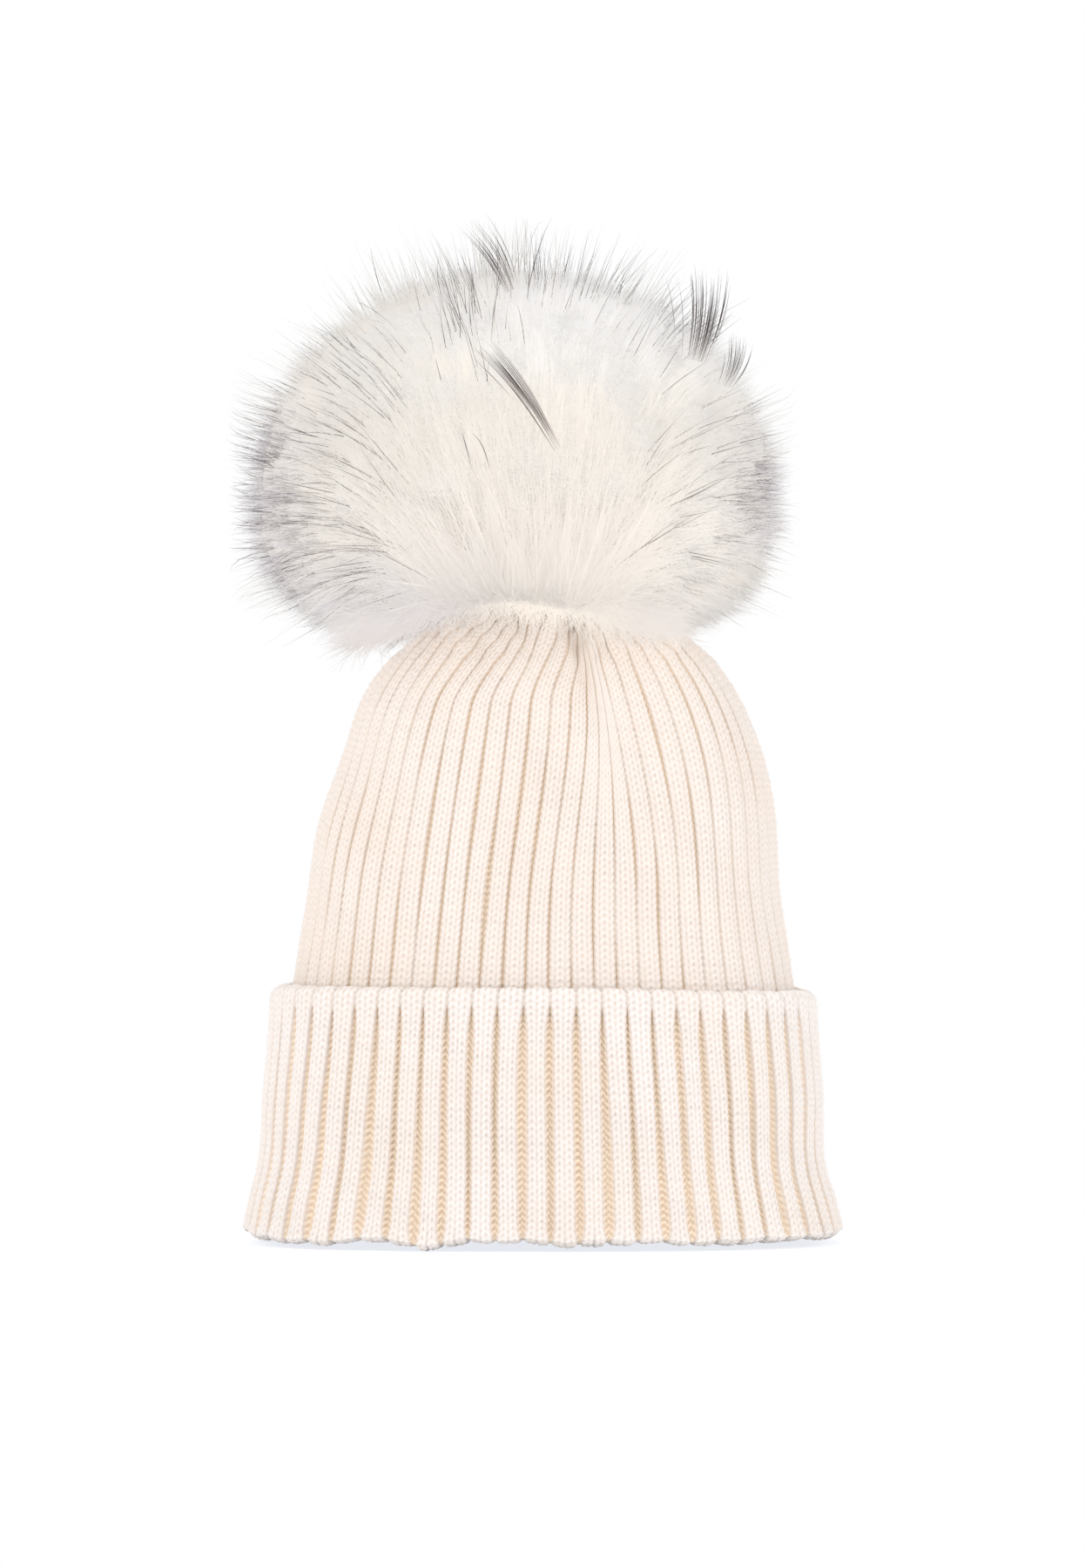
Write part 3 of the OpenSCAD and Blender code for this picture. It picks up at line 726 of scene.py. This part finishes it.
def care_label():
    """A blank satin label, sewn in by its top edge and curling a little away from the wall at its foot."""
    low, high = (np.array(v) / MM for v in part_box("care_label"))
    rows, columns = 35, 25
    x = np.linspace(low[0], high[0], columns)[None, :]
    z = np.linspace(high[2], low[2], rows)[:, None]
    fall = (high[2] - z) / (high[2] - low[2])
    y = low[1] + 0.1 - 1.6 * fall ** 2 - 0.35 * np.sin(np.pi * (x - low[0]) / (high[0] - low[0])) * fall
    front = np.stack([x + 0 * z, y, z + 0 * x], -1).reshape(-1, 3)
    faces = grid(rows, columns, closed=False)[0]
    index = np.arange(rows * columns).reshape(rows, columns)
    edge = np.concatenate([index[0, :-1], index[:-1, -1], index[-1, :0:-1], index[:0:-1, 0]])
    ahead = np.roll(edge, -1)
    sides = np.stack([ahead, edge, edge + index.size, ahead + index.size], 1)
    faces = np.concatenate([faces, faces[:, ::-1] + index.size, sides])
    return make_object("care_label_satin", np.concatenate([front, front + [0, 0.28, 0]]), faces, satin_material())


label = dress(care_label(), "label", "label", "care_label")

# --- Fur ---
POM = np.array([-9.5, 0.0, 247.0])
POM_R, POM_UP, POM_DOWN = 88.0, 73.0, 53.0
UP_POWER, DOWN_POWER = 2.04, 2.5        # how square its outline is above and below its middle
WOOL = 0.95                             # how far out the dense wool reaches, as a share of the long hair
PART = np.array([-3.0, 199.0])          # x and z of the place, in front and behind, that the hair runs away from,
MIDST = np.array([-8.0, 238.0])         # and the place that it runs away from at the pom pom's rim
LIE = 40.0                              # how far a hair runs along the surface
REACH = ((0, -1, 104.0), (0, 1, 85.0), (1, -1, 99.0), (1, 1, 99.0), (2, 1, 338.4))  # how far the hairs' tips may go
HAIRS, TUFTS, LOCKS = 72000, 2700, 420  # the hairs lie in tufts, and the tufts in locks
GUARD_HAIRS, GUARD_LOCKS = 5200, 150


def pom_surface(d):
    """Where the fur's outside is, in directions from its middle."""
    upper = d[:, 2] > 0
    power = np.where(upper, UP_POWER, DOWN_POWER)
    high = np.where(upper, POM_UP, POM_DOWN)
    reach = ((np.hypot(d[:, 0], d[:, 1]) / POM_R) ** power + (np.abs(d[:, 2]) / high) ** power) ** (-1 / power)
    return POM + d * reach[:, None]


def rim_share(x, z):
    """How far out places lie as seen from the front, 1 at the pom pom's outline."""
    return np.hypot((x - POM[0]) / POM_R, (z - POM[2]) / POM_UP)


def dome_top(x, y):
    """How high the crown stands at a place seen from above, 0 where there is no crown."""
    top = np.zeros(x.shape)
    for turn in np.linspace(0.0, math.pi / 2 - 0.02, 70):
        a, b, z = dome_profile(turn, 0.0)
        inside = (np.abs(x - middle(z)) / a) ** SQUARENESS + (np.abs(y) / b) ** SQUARENESS < 1
        top = np.where(inside, np.maximum(top, z), top)
    return top


def fur_line(x):
    """How low the fur hangs in front, where the knit shows under it."""
    side = x + 13.0
    return 194.0 + 15.5 * bell(side, np.where(side < 0, 34.0, 46.0))


def directions(rng, count):
    z = rng.uniform(-0.92, 1.0, count)
    a = rng.uniform(0, 2 * np.pi, count)
    r = np.sqrt(1 - z * z)
    return np.stack([r * np.cos(a), r * np.sin(a), z], 1)


def nearest(d, centres):
    return np.concatenate([(part @ centres.T).argmax(1) for part in np.array_split(d, 40)])


def shares(steps):
    """How far along its length each of a hair's points is, from 0 at its root to 1 at its tip."""
    return np.linspace(0, 1, steps)[None, :, None]


def hair_paths(d, reach, steps, lie=LIE, lift=4.0, droop=4.0, sink=0.13):
    """Each hair's points from its root in the wool to its tip, and the fur's outward direction at the tip."""
    skin = pom_surface(d)
    out = unit((skin - POM) / np.array([POM_R, POM_R, 75.0]) ** 2)
    tip = POM + (skin - POM) * reach[:, None]
    x, y, z = tip.T
    parting = PART + np.stack([16.0 * np.tanh((x - PART[0]) / 40.0), 0 * x], 1)
    flow = tip[:, [0, 2]] - mix(parting, MIDST, smooth(rim_share(x, z), 0.45, 1.0)[:, None])
    far = np.linalg.norm(flow, axis=1)
    run = np.minimum(far * 0.8, lie)
    root_x, root_z = (tip[:, [0, 2]] - flow / np.maximum(far, 1e-6)[:, None] * run[:, None]).T
    root = np.stack([root_x, y * (1 - sink * (0.1 + run / LIE)), root_z], 1)
    bend = (root + tip) / 2 + out * lift * (run / LIE)[:, None]
    t = shares(steps)
    path = (1 - t) ** 2 * root[:, None] + 2 * t * (1 - t) * bend[:, None] + t ** 2 * tip[:, None]
    path[..., 2] -= droop * t[..., 0] ** 2 * (1 - np.abs(out[:, 2:]))
    return path, out


def clear_of_crown(path, rng):
    """Lifts hair that would run through the crown or hang too low at its sides, and holds in the tips.

    Returns the paths and which of them don't run deep inside the crown.
    """
    x, y, z = np.moveaxis(path, -1, 0)
    crown = dome_top(x, y)
    free = (crown - z).max(1) < 9.0
    low = np.maximum(crown, np.where(y < 0.0, (fur_line(x) - 1.0) * smooth(-y, 0.0, 20.0),
                                     (fur_line(x) + 3.0) * smooth(y, 0.0, 6.0)))
    gap = z - low - rng.uniform(0.6, 5.0, (len(path), 1))
    z += np.where(gap < 4.0, 4.0 * np.exp(np.minimum(gap - 4.0, 0.0) / 4.0) - gap, 0.0)
    for axis, sign, limit in REACH:
        over = np.maximum(sign * path[..., axis] - limit + 8.0, 0.0)
        path[..., axis] -= sign * (over - 8.0 * np.tanh(over / 8.0))
    return path, free


def fringe(rng, count, steps):
    """Short wisps along the fur's lower edge in front, which soften it over the knit."""
    x = rng.uniform(-62.0, 42.0, count)
    z = fur_line(x) + rng.uniform(0.5, 10.0, count)
    level = POM_R * (1 - np.minimum((POM[2] - z) / POM_DOWN, 1.0) ** DOWN_POWER) ** (1 / DOWN_POWER)
    y = -np.sqrt(np.maximum(level ** 2 - (x - POM[0]) ** 2, 100.0)) + rng.uniform(0.0, 8.0, count)
    root = np.stack([x, y, z], 1)
    way = unit(np.stack([0.02 * (x - PART[0]) + rng.normal(0, 0.5, count), np.full(count, -0.25),
                         rng.normal(-0.15, 0.4, count)], 1))
    t = shares(steps)
    long = rng.uniform(5.0, 15.0, count)[:, None, None]
    path = root[:, None] + way[:, None] * long * t + rng.normal(0, 1, (count, 1, 3)) * 2.0 * t ** 2
    return path, np.repeat([[0.0, -1.0, 0.1]], count, 0)


def ribbons(name, paths, out, width, tone, seed, first=0.0):
    """Flat tapered ribbons, one for each hair, shaded as the round mass of fur that they lie in.

    tone is a hair's place on the palette, and first is how far along the palette's length its root is coloured.
    """
    rng = np.random.default_rng(seed)
    count, steps = paths.shape[:2]
    tangent = unit(np.gradient(paths, axis=1))
    ahead = np.zeros((count, 1, 3))
    ahead[:, 0, 1] = np.where(out[:, 1] < 0, -1, 1)
    side = unit(np.cross(tangent, unit(out[:, None] + 0.7 * ahead + rng.normal(0, 0.35, (count, 1, 3)))))
    t = shares(steps)
    wide = width[:, None, None] * (1 - 0.9 * t ** 2.5) * (0.45 + 0.55 * smooth(t, 0.0, 0.3)) / 2
    points = np.stack([paths - side * wide, paths + side * wide], 2)
    forward = np.clip(out[:, None] * 2.5, -1.0, 1.0) * [0, 1, 0]
    level = 0.5 * np.maximum(out, [-1.0, -1.0, -0.2])[:, None]
    normals = unit(level + 0.06 * np.cross(side, tangent) + 0.35 * forward + np.array([0.0, 0.0, 0.3]))
    start = (np.arange(count) * steps * 2)[:, None] + np.arange(steps - 1)[None, :] * 2
    faces = np.stack([start, start + 1, start + 3, start + 2], -1).reshape(-1, 4)
    step = np.broadcast_to(np.arange(steps - 1)[None, :], (count, steps - 1)) / (steps - 1)
    first = np.broadcast_to(first, count)[:, None]
    low, high = mix(first, 1.0, step), mix(first, 1.0, step + 1 / (steps - 1))
    left = np.broadcast_to(np.clip(tone, 0.006, 0.986)[:, None], low.shape)
    right = left + 0.008
    uv = np.stack([np.stack(corner, -1) for corner in ((left, low), (right, low), (right, high), (left, high))], 2)
    obj = make_object(name, points.reshape(-1, 3), faces, fur, uv)
    obj.data.normals_split_custom_set_from_vertices(np.repeat(normals, 2, axis=1).reshape(-1, 3))
    obj.visible_shadow = False      # light goes through a fur's fine hairs
    return obj


def tones(tip, clump_random, hair_random):
    """The palette place of each hair: cream low in the middle and darker to the left, white higher up, banded
    grey-brown by the rim, with painted shade greying it low at the sides under the pom pom and painted light whitening
    it near the outer edge higher up.
    """
    x, _, z = tip.T
    below_top = 1 - smooth(z, 262, 286)
    left = smooth(-x, 70, 88) * smooth(z, 203, 217) * below_top
    right = smooth(x, 56, 74) * smooth(z, 216, 232) * below_top
    cream = bell(x, 50) * bell(z - 225, 40)
    # Painted shade: hair low at the sides, under the pom pom, is pulled towards the grey white at 0.
    painted_shade_left = (1 - smooth(z, 207, 238)) * smooth(-x, 8, 36)
    painted_shade_right = 0.7 * (1 - smooth(z, 205, 230)) * smooth(x, 4, 40)
    base = mix(0.23, 0.13, cream) - 0.08 * smooth(-x, -5, 50)
    # A little lighter low in the middle.
    base = base + 0.09 * bell(x + 5, 28) * (1 - smooth(z, 208, 222))
    base = mix(base, 0.02, painted_shade_left + painted_shade_right)
    # Painted light: the hair near the outline higher up is whitened against the shade it lies in.
    base = base + 0.12 * smooth(rim_share(x, z), 0.86, 1.02) * smooth(z, 225, 255)
    base = mix(base, 0.45, smooth(z, 268, 300) * mix(0.25, 1.0, smooth(x, -60, 10)))
    base = base + 0.03 * (clump_random - 0.5) + 0.02 * (hair_random - 0.5)
    chance = 0.8 * left + 0.56 * right + 0.03 * smooth(z, 282, 306)
    return np.where(clump_random * 0.55 + hair_random * 0.45 < chance, BANDED + 0.18 * hair_random, base)


def build_fur():
    """The fur's many fine hairs, which lean towards the middle of their tuft, and each tuft towards its lock's."""
    rng = np.random.default_rng(7)
    steps = 7
    lock_d = directions(rng, LOCKS)
    lock_reach = rng.uniform(0.98, 1.025, LOCKS)
    tuft_d = directions(rng, TUFTS)
    tuft_lock = nearest(tuft_d, lock_d)
    tuft_reach = lock_reach[tuft_lock] * rng.uniform(0.98, 1.03, TUFTS)
    t = shares(steps)
    lock_path = hair_paths(lock_d, lock_reach, steps)[0]
    tuft_path = mix(hair_paths(tuft_d, tuft_reach, steps)[0], lock_path[tuft_lock], 0.38 * smooth(t, 0.3, 1.0))
    d = directions(rng, HAIRS)
    own = nearest(d, tuft_d)
    reach = tuft_reach[own] * rng.uniform(0.965, 1.03, HAIRS)
    path, out = hair_paths(d, reach, steps)
    target = POM + (tuft_path[own] - POM) * (reach / tuft_reach[own])[:, None, None] ** t
    path = mix(path, target, 0.5 * smooth(t, 0.35, 1.0))
    bend = rng.normal(0, 1, (HAIRS, 1, 3))
    path = path + bend * 2.4 * np.sin(np.pi * np.minimum(t * 1.1, 1.0)) + rng.normal(0, 1, (HAIRS, 1, 3)) * 1.6 * t ** 2
    clump_random = rng.uniform(0, 1, TUFTS)[own] * 0.6 + rng.uniform(0, 1, LOCKS)[tuft_lock[own]] * 0.4
    tip = path[:, -1]
    keep = (tip[:, 2] > fur_line(tip[:, 0]) + rng.uniform(0.0, 5.0, HAIRS)) | (tip[:, 1] > -10.0)
    wisps, wisps_out = fringe(rng, HAIRS // 10, steps)
    path, free = clear_of_crown(path[keep], rng)
    path = np.concatenate([path[free], wisps])
    out = np.concatenate([out[keep][free], wisps_out])
    clump_random = np.concatenate([clump_random[keep][free], np.full(len(wisps), 0.5)])
    tone = tones(path[:, -1], clump_random, rng.uniform(0, 1, len(path)))
    width = rng.uniform(0.2, 0.34, len(path))
    width[-len(wisps):] *= 0.6
    return ribbons("fur_hair", path, out, width, tone, 8)


def build_core():
    """The dense short wool under the long hair."""
    rows, columns = 90, 160
    polar = np.linspace(0.02, math.pi - 0.02, rows)[::-1][:, None]
    around = np.linspace(0, 2 * np.pi, columns + 1)[:-1][None, :]
    d = np.stack([np.sin(polar) * np.cos(around), np.sin(polar) * np.sin(around), np.cos(polar) + 0 * around], -1)
    d = d.reshape(-1, 3)
    lumps = WOOL + 0.006 * waves(91, d[:, 0], d[:, 2], 9, 4, 4.0) + 0.006 * waves(92, d[:, 1], d[:, 2], 9, 6, 6.0)
    points = POM + (pom_surface(d) - POM) * lumps[:, None]
    x, y, z = points.T
    aside = np.hypot(x - CROWN_X, y)
    low = np.maximum(dome_top(x, y) + 3.0 + 0.16 * aside, mix(DISC_TOP + 0.5, 0.0, smooth(aside, 20.0, 27.0)))
    points[:, 2] = np.maximum(z, np.maximum(low, (fur_line(x) + 4.0) * smooth(-y, 0.0, 20.0)))
    faces, uv = grid(rows, columns)
    return make_object("fur_wool_mass", points, faces, wool_material(), uv)


def front_at(tree, name, out):
    """A point of the fur's outside in front of an image point, a little outside the wool that carries the hair."""
    eye, way = (np.array(v) for v in ray_through(*POINTS[name]))
    wool = (eye + way * ((place_on(tree, name) - eye) @ way)) / MM
    line = wool - way * np.linspace(0, 40, 81)[:, None]
    away = line - POM
    outside = np.linalg.norm(away, axis=1) > np.linalg.norm(pom_surface(unit(away)) - POM, axis=1) * out
    return line[outside.argmax()] if outside.any() else line[0]


def fur_front(x, z):
    """How far forward the fur's upper half reaches at places seen from the front, 0 beyond its outline."""
    level = POM_R * np.maximum(1 - (np.maximum(z - POM[2], 0.0) / POM_UP) ** UP_POWER, 0.0) ** 0.49
    return -np.sqrt(np.maximum(level ** 2 - (x - POM[0]) ** 2, 0.0))


def bundle(rng, tree, name, count, steps, spread, late, first):
    """Dark hairs lying together between two image points, each from its root in the fur."""
    root, tip = front_at(tree, name + "_root", 1.075), front_at(tree, name + "_tip", 1.08)
    eye, way = (np.array(v) for v in ray_through(*POINTS[name + "_tip"]))
    tip = eye / MM + way * ((min(tip[1], root[1] + 12.0) - eye[1] / MM) / way[1])
    aside = unit(np.cross(unit(tip - root), [0, -1, 0]))
    start = np.maximum(rng.uniform(-0.3, late, (count, 1, 1)), first)
    end = np.minimum(start + rng.uniform(0.55, 1.45 - late, (count, 1, 1)), rng.uniform(0.92, 1.1, (count, 1, 1)))
    t = start + (end - start) * shares(steps)
    place = rng.normal(0, 1, (count, 1, 1))
    for ends in (start < first + 0.02, end > 0.9):
        place[ends] -= place[ends].mean()
    lift = rng.normal(0.4, 0.8, (count, 1, 1)) * spread + 2.6 * np.sin(np.pi * np.clip(t, 0, 1))
    fan = place * spread * (0.5 + 0.6 * t) + 1.3 * np.sin(np.pi * t)
    path = root + (tip - root) * t + aside * fan + np.array([0, -1, 0]) * lift
    back = np.maximum(1.04 * fur_front(path[:, :1, 0], path[:, :1, 2]) - path[:, :1, 1], 0.0)
    path[..., 1] += back * (1 - shares(steps)[..., 0]) ** 1.5
    return path, np.repeat(unit((root + tip) / 2 - POM)[None], count, 0)


# Where dark hairs lie close: the place's millimetres from the left to the right and up, and its radius.
DARK_PATCHES = ((-27, 315, 15), (53, 306, 13), (69, 275, 10), (-67, 292, 14), (-88, 263, 20), (-85, 229, 20),
                (-92, 246, 16), (65, 249, 16), (62, 229, 14), (-1, 329, 6), (14, 329, 6), (29, 326, 6))
# Dark tufts on image points: hairs, spread, and the shares of the way where the last and the first hairs start.
BUNDLES = (("streak", 38, 2.0, 0.55, -0.09), ("tuft", 60, 4.8, 0.4, 0.0), ("low_tuft", 24, 2.5, 0.3, 0.0),
           ("top_tuft", 22, 2.2, 0.15, 0.0))


def patch_closeness(place):
    return [bell(np.hypot(place[:, 0] - x, place[:, 2] - z), r) for x, z, r in DARK_PATCHES]


def build_guard_hair(tree):
    """The long thin hairs that lie over the fur and stand out of it, many of them dark.

    Also returns each bundle's first point and number of points.
    """
    rng = np.random.default_rng(17)
    steps = 8
    d = directions(rng, GUARD_HAIRS)
    d = d[d[:, 2] > -0.5]
    for index in range(len(DARK_PATCHES)):
        more = directions(rng, int(GUARD_HAIRS * 0.7))
        close = patch_closeness(pom_surface(more))[index]
        d = np.concatenate([d, more[rng.uniform(0, 1, len(more)) < 0.9 * close]])
    x, _, z = pom_surface(d).T
    spread_out = np.maximum(smooth(z, 215, 300), smooth(-x, 20, 80))
    low_middle = bell(x, 55) * bell(z - 215, 42)
    d = d[rng.uniform(0, 1, len(d)) < (0.35 + 0.65 * spread_out) * (1 - 0.9 * low_middle)]
    count = len(d)
    lock = nearest(d, directions(np.random.default_rng(23), GUARD_LOCKS))
    luck = rng.uniform(0, 1, GUARD_LOCKS)[lock]
    reach = rng.uniform(1.01, 1.10, count) + 0.16 * smooth(d[:, 2], 0.45, 0.9) * rng.uniform(0, 1, count)
    path, out = hair_paths(d, reach, steps, lie=rng.uniform(24, 76, count), lift=3.5, droop=3.0, sink=0.05)
    t = shares(steps)
    own_bend, lock_bend = rng.normal(0, 1, (count, 1, 3)), rng.normal(0, 1, (GUARD_LOCKS, 1, 3))[lock]
    path = path + own_bend * (2.6 * t ** 2 + 1.4 * t) + lock_bend * 3.2 * t ** 2
    hangs = (path[..., 2] < fur_line(path[..., 0]) + 2.0).any(1)
    path, free = clear_of_crown(path, rng)
    free &= ~hangs
    path, out, luck = path[free], out[free], luck[free]
    tip = path[:, -1]
    outer = smooth(rim_share(tip[:, 0], tip[:, 2]), 0.4, 0.8)
    chance = (0.03 + 0.4 * luck ** 3) * mix(0.35, 1.0, outer) * (1 - 0.6 * smooth(tip[:, 2], 285, 310))
    count = len(path)
    dark = rng.uniform(0, 1, count) < chance + 1.1 * sum(patch_closeness(tip))
    tone = [np.where(dark, rng.uniform(DARK, 0.98, count), rng.uniform(0.2, 0.36, count))]
    width = [np.where(dark, rng.uniform(0.19, 0.33, count), rng.uniform(0.16, 0.26, count))]
    first = [np.where(dark, rng.uniform(0.1, 0.4, count), 0.0)]
    paths, outs, spans = [path], [out], {}
    for name, number, spread, late, early in BUNDLES:
        path, out = bundle(rng, tree, name, number, steps, spread, late, early)
        spans[name] = (sum(map(len, paths)) * steps * 2, number * steps * 2)
        paths.append(path)
        outs.append(out)
        tone.append(rng.uniform(0.84, 0.99, number))
        width.append(rng.uniform(0.17, 0.29, number))
        first.append(np.full(number, 0.42))
    paths, outs, width, tone, first = (np.concatenate(parts) for parts in (paths, outs, width, tone, first))
    return ribbons("guard_hair", paths, outs, width, tone, 18, first), spans


fur = fur_material()
core = dress(build_core(), "pom_pom", "fur", "fur_wool")
core.visible_shadow = False
hair = dress(build_fur(), "pom_pom", "fur", "fur_wool")
guard, bundle_spans = build_guard_hair(surface_tree(core))
dress(guard, "pom_pom", "guard_hair", "guard_tufts")

# --- Parts kept from the frame ---
cream_thread = plain_fabric("cream_thread", (246, 236, 222), (222, 206, 186), 2500.0, 0.8, 0.5)
white_thread = plain_fabric("white_thread", (248, 246, 242), (222, 218, 210), 2600.0, 0.75, 0.5)
nickel = metal_material("nickel", (205, 202, 196), 0.22)
KEPT = (
    (cream_thread, "thread", ("cuff_tacks", "crown_drawstring")),
    (white_thread, "thread", ("label_thread", "socket_shank", "disc_stitches", "pelt_drawstring")),
    (plain_fabric("felt_patch", (240, 231, 217), (219, 205, 186), 1400.0, 0.95, 0.8), "felt", ("crown_patch",)),
    (plain_fabric("fibrefill", (250, 249, 247), (229, 228, 226), 420.0, 0.95, 1.0), "stuffing", ("stuffing",)),
    (leather_material("suede_disc", (196, 164, 128), (170, 136, 102)), "leather", ("leather_disc",)),
    (leather_material("pelt_leather", (226, 208, 184), (206, 184, 158)), "skin", ("pelt_skin",)),
    (nickel, "snap_metal", ("stud_cap", "snap_stud", "snap_socket")),
    (metal_material("spring_steel", (188, 190, 194), 0.18), "spring_metal", ("spring_ring",)))
for material, slot_name, names in KEPT:
    for name in names:
        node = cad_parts[name]
        if not node.material_slots:
            node.data.materials.append(material)
        for slot in node.material_slots:
            slot.material = material

# --- Studio ---
WHITE = (1.0, 1.0, 1.0, 1.0)
FLOOR_SIDE, WALL_BACK, WALL_TOP, WALL_BEND = 12000.0, 8000.0, 6000.0, 1000.0
# Each lamp's name, place and the height on the axis that it faces, in metres, its size in metres, power and colour.
LAMPS = (("key", (-1.6, -1.75, 1.45), 0.16, 1.2, 30.0, (1.0, 0.99, 0.98)),
         ("fill", (1.9, -1.7, 0.9), 0.16, 1.6, 28.0, (0.985, 0.99, 1.0)),
         ("left", (-2.1, -0.3, 0.9), 0.16, 1.4, 9.0, WHITE[:3]),
         ("right", (2.1, -0.3, 0.9), 0.16, 1.4, 6.0, WHITE[:3]),
         ("back", (0.3, 1.9, 1.6), 0.2, 1.6, 16.0, WHITE[:3]))


def floor_material():
    """Pale to the light, and white to the camera and in reflections, but for the hat's soft shadow close to it."""
    n = Nodes("studio_white")
    n.finish((0.93, 0.935, 0.95, 1.0), 0.9)
    rays = n.add("LightPath").outputs
    seen = n.math("MAXIMUM", rays["Is Camera Ray"],
                  n.math("MAXIMUM", rays["Is Glossy Ray"], rays["Is Transmission Ray"]))
    oval_place = n.add("Mapping", {"Vector": n.place(), "Scale": (1.0, 1.3, 1.0)}).outputs["Vector"]
    away = n.add("VectorMath", {0: oval_place}, operation="LENGTH").outputs["Value"]
    plain = n.add("Emission", {"Color": WHITE, "Strength": 1.0}).outputs[0]
    shadowed = n.add("BsdfDiffuse", {"Color": (0.24, 0.23, 0.2, 1.0)}).outputs[0]
    # Painted shade: near the hat the floor glows a pale blue-grey, which gives the hat's real shadow on the dim diffuse
    # part its bluish tone.
    lift = n.add("Emission", {"Color": (0.79, 0.81, 0.86, 1.0), "Strength": 1.0}).outputs[0]
    near = n.add("AddShader", {0: shadowed, 1: lift}).outputs[0]
    shown = n.add("MixShader", {0: n.range(away, 0.10, 0.22, 1.0, 0.0), 1: plain, 2: near})
    return n.show(seen, n.shader, shown)


def studio():
    """A floor that bends up into a wall far behind, the world's light, and the lamps."""
    bend = [(WALL_BACK + WALL_BEND * (math.sin(a) - 1), WALL_BEND * (1 - math.cos(a)))
            for a in np.linspace(0, math.pi / 2, 16)]
    line = [(-FLOOR_SIDE, 0.0)] + bend + [(WALL_BACK, WALL_TOP)]
    points = np.array([(x, y, z) for y, z in line for x in (-FLOOR_SIDE, FLOOR_SIDE)])
    make_object("studio_floor", points, grid(len(line), 2, closed=False)[0], floor_material())

    bpy.context.scene.view_settings.view_transform = "Standard"
    bpy.context.scene.world = bpy.data.worlds.new("studio")
    n = Nodes(bpy.context.scene.world)
    light = n.add("Background", {"Color": (1.0, 0.99, 0.98, 1.0), "Strength": 0.66})
    n.show(n.add("LightPath").outputs["Is Camera Ray"], light, n.add("Background", {"Color": WHITE}))

    for name, place, level, size, power, color in LAMPS:
        data = bpy.data.lights.new(name, "AREA")
        data.shape = "DISK"
        data.size, data.energy, data.color = size, power, color
        lamp = bpy.data.objects.new(name, data)
        bpy.context.collection.objects.link(lamp)
        lamp.location = place
        lamp.rotation_euler = (Vector((0, 0, level)) - Vector(place)).to_track_quat("-Z", "Y").to_euler()


studio()


# --- Where things show, against their image points ---
def showing(points, near=0.0025):
    """Which of some places, in metres, the camera sees past the finished surfaces."""
    eye = camera.matrix_world.translation
    seen = []
    for point in points:
        way = Vector(point) - eye
        hits = [tree.ray_cast(eye, way)[3] for tree in TREES]
        seen.append(min([h for h in hits if h is not None] or [9.0]) > way.length - near)
    return np.array(seen, dtype=bool)


def around(points, name, half_x, half_y):
    """The places that show within a window round an image point, and their image places."""
    image = image_of(points)
    inside = (np.abs(image - POINTS[name]) < (half_x, half_y)).all(1)
    inside[inside] = showing(points[inside])
    return points[inside], image[inside]


def measure():
    cuff_points, body_points, guard_points = (world_points(obj) for obj in (cuff, body, guard))
    found = {}
    for name in ("cuff_edge_left", "cuff_edge_middle", "cuff_edge_right"):
        image = around(cuff_points, name, 3.0, 14.0)[1]
        found[name] = image[image[:, 1].argmin()]
    for name, sign in (("rim_left", 1), ("rim_right", -1)):
        image = around(cuff_points, name, 16.0, 3.0)[1]
        found[name] = image[(sign * image[:, 0]).argmin()]
    for name in ("crease_top", "crease_foot"):
        points, image = around(body_points, name, 11.0, 4.0)
        found[name] = image[points[:, 1].argmax()]
    for name, (start, count) in bundle_spans.items():
        points = guard_points[start:start + count]
        image = image_of(points[showing(points)])
        root, tip = (np.array(POINTS[name + end]) for end in ("_root", "_tip"))
        along = (image - root) @ (tip - root) / ((tip - root) @ (tip - root))
        for end, share in (("_root", 0.03), ("_tip", 0.97)):
            found[name + end] = image[np.abs(along - np.quantile(along, share)) < 0.06].mean(0)
    return {name: [round(float(v), 1) for v in place - POINTS[name]] for name, place in found.items()}


bpy.context.view_layer.update()
TREES = [surface_tree(obj) for obj in (body, cuff, core, hair)]
all_image = image_of(np.concatenate([world_points(obj) for obj in (body, cuff, hair, guard)]))
reached = {"left_x": all_image[:, 0].min(), "right_x": all_image[:, 0].max(),
           "top_y": all_image[:, 1].min(), "bottom_y": all_image[:, 1].max()}
edges = {name: round(float(reached[name] - EDGES[name]), 1) for name in reached}
{"edges": edges, "points": measure()}
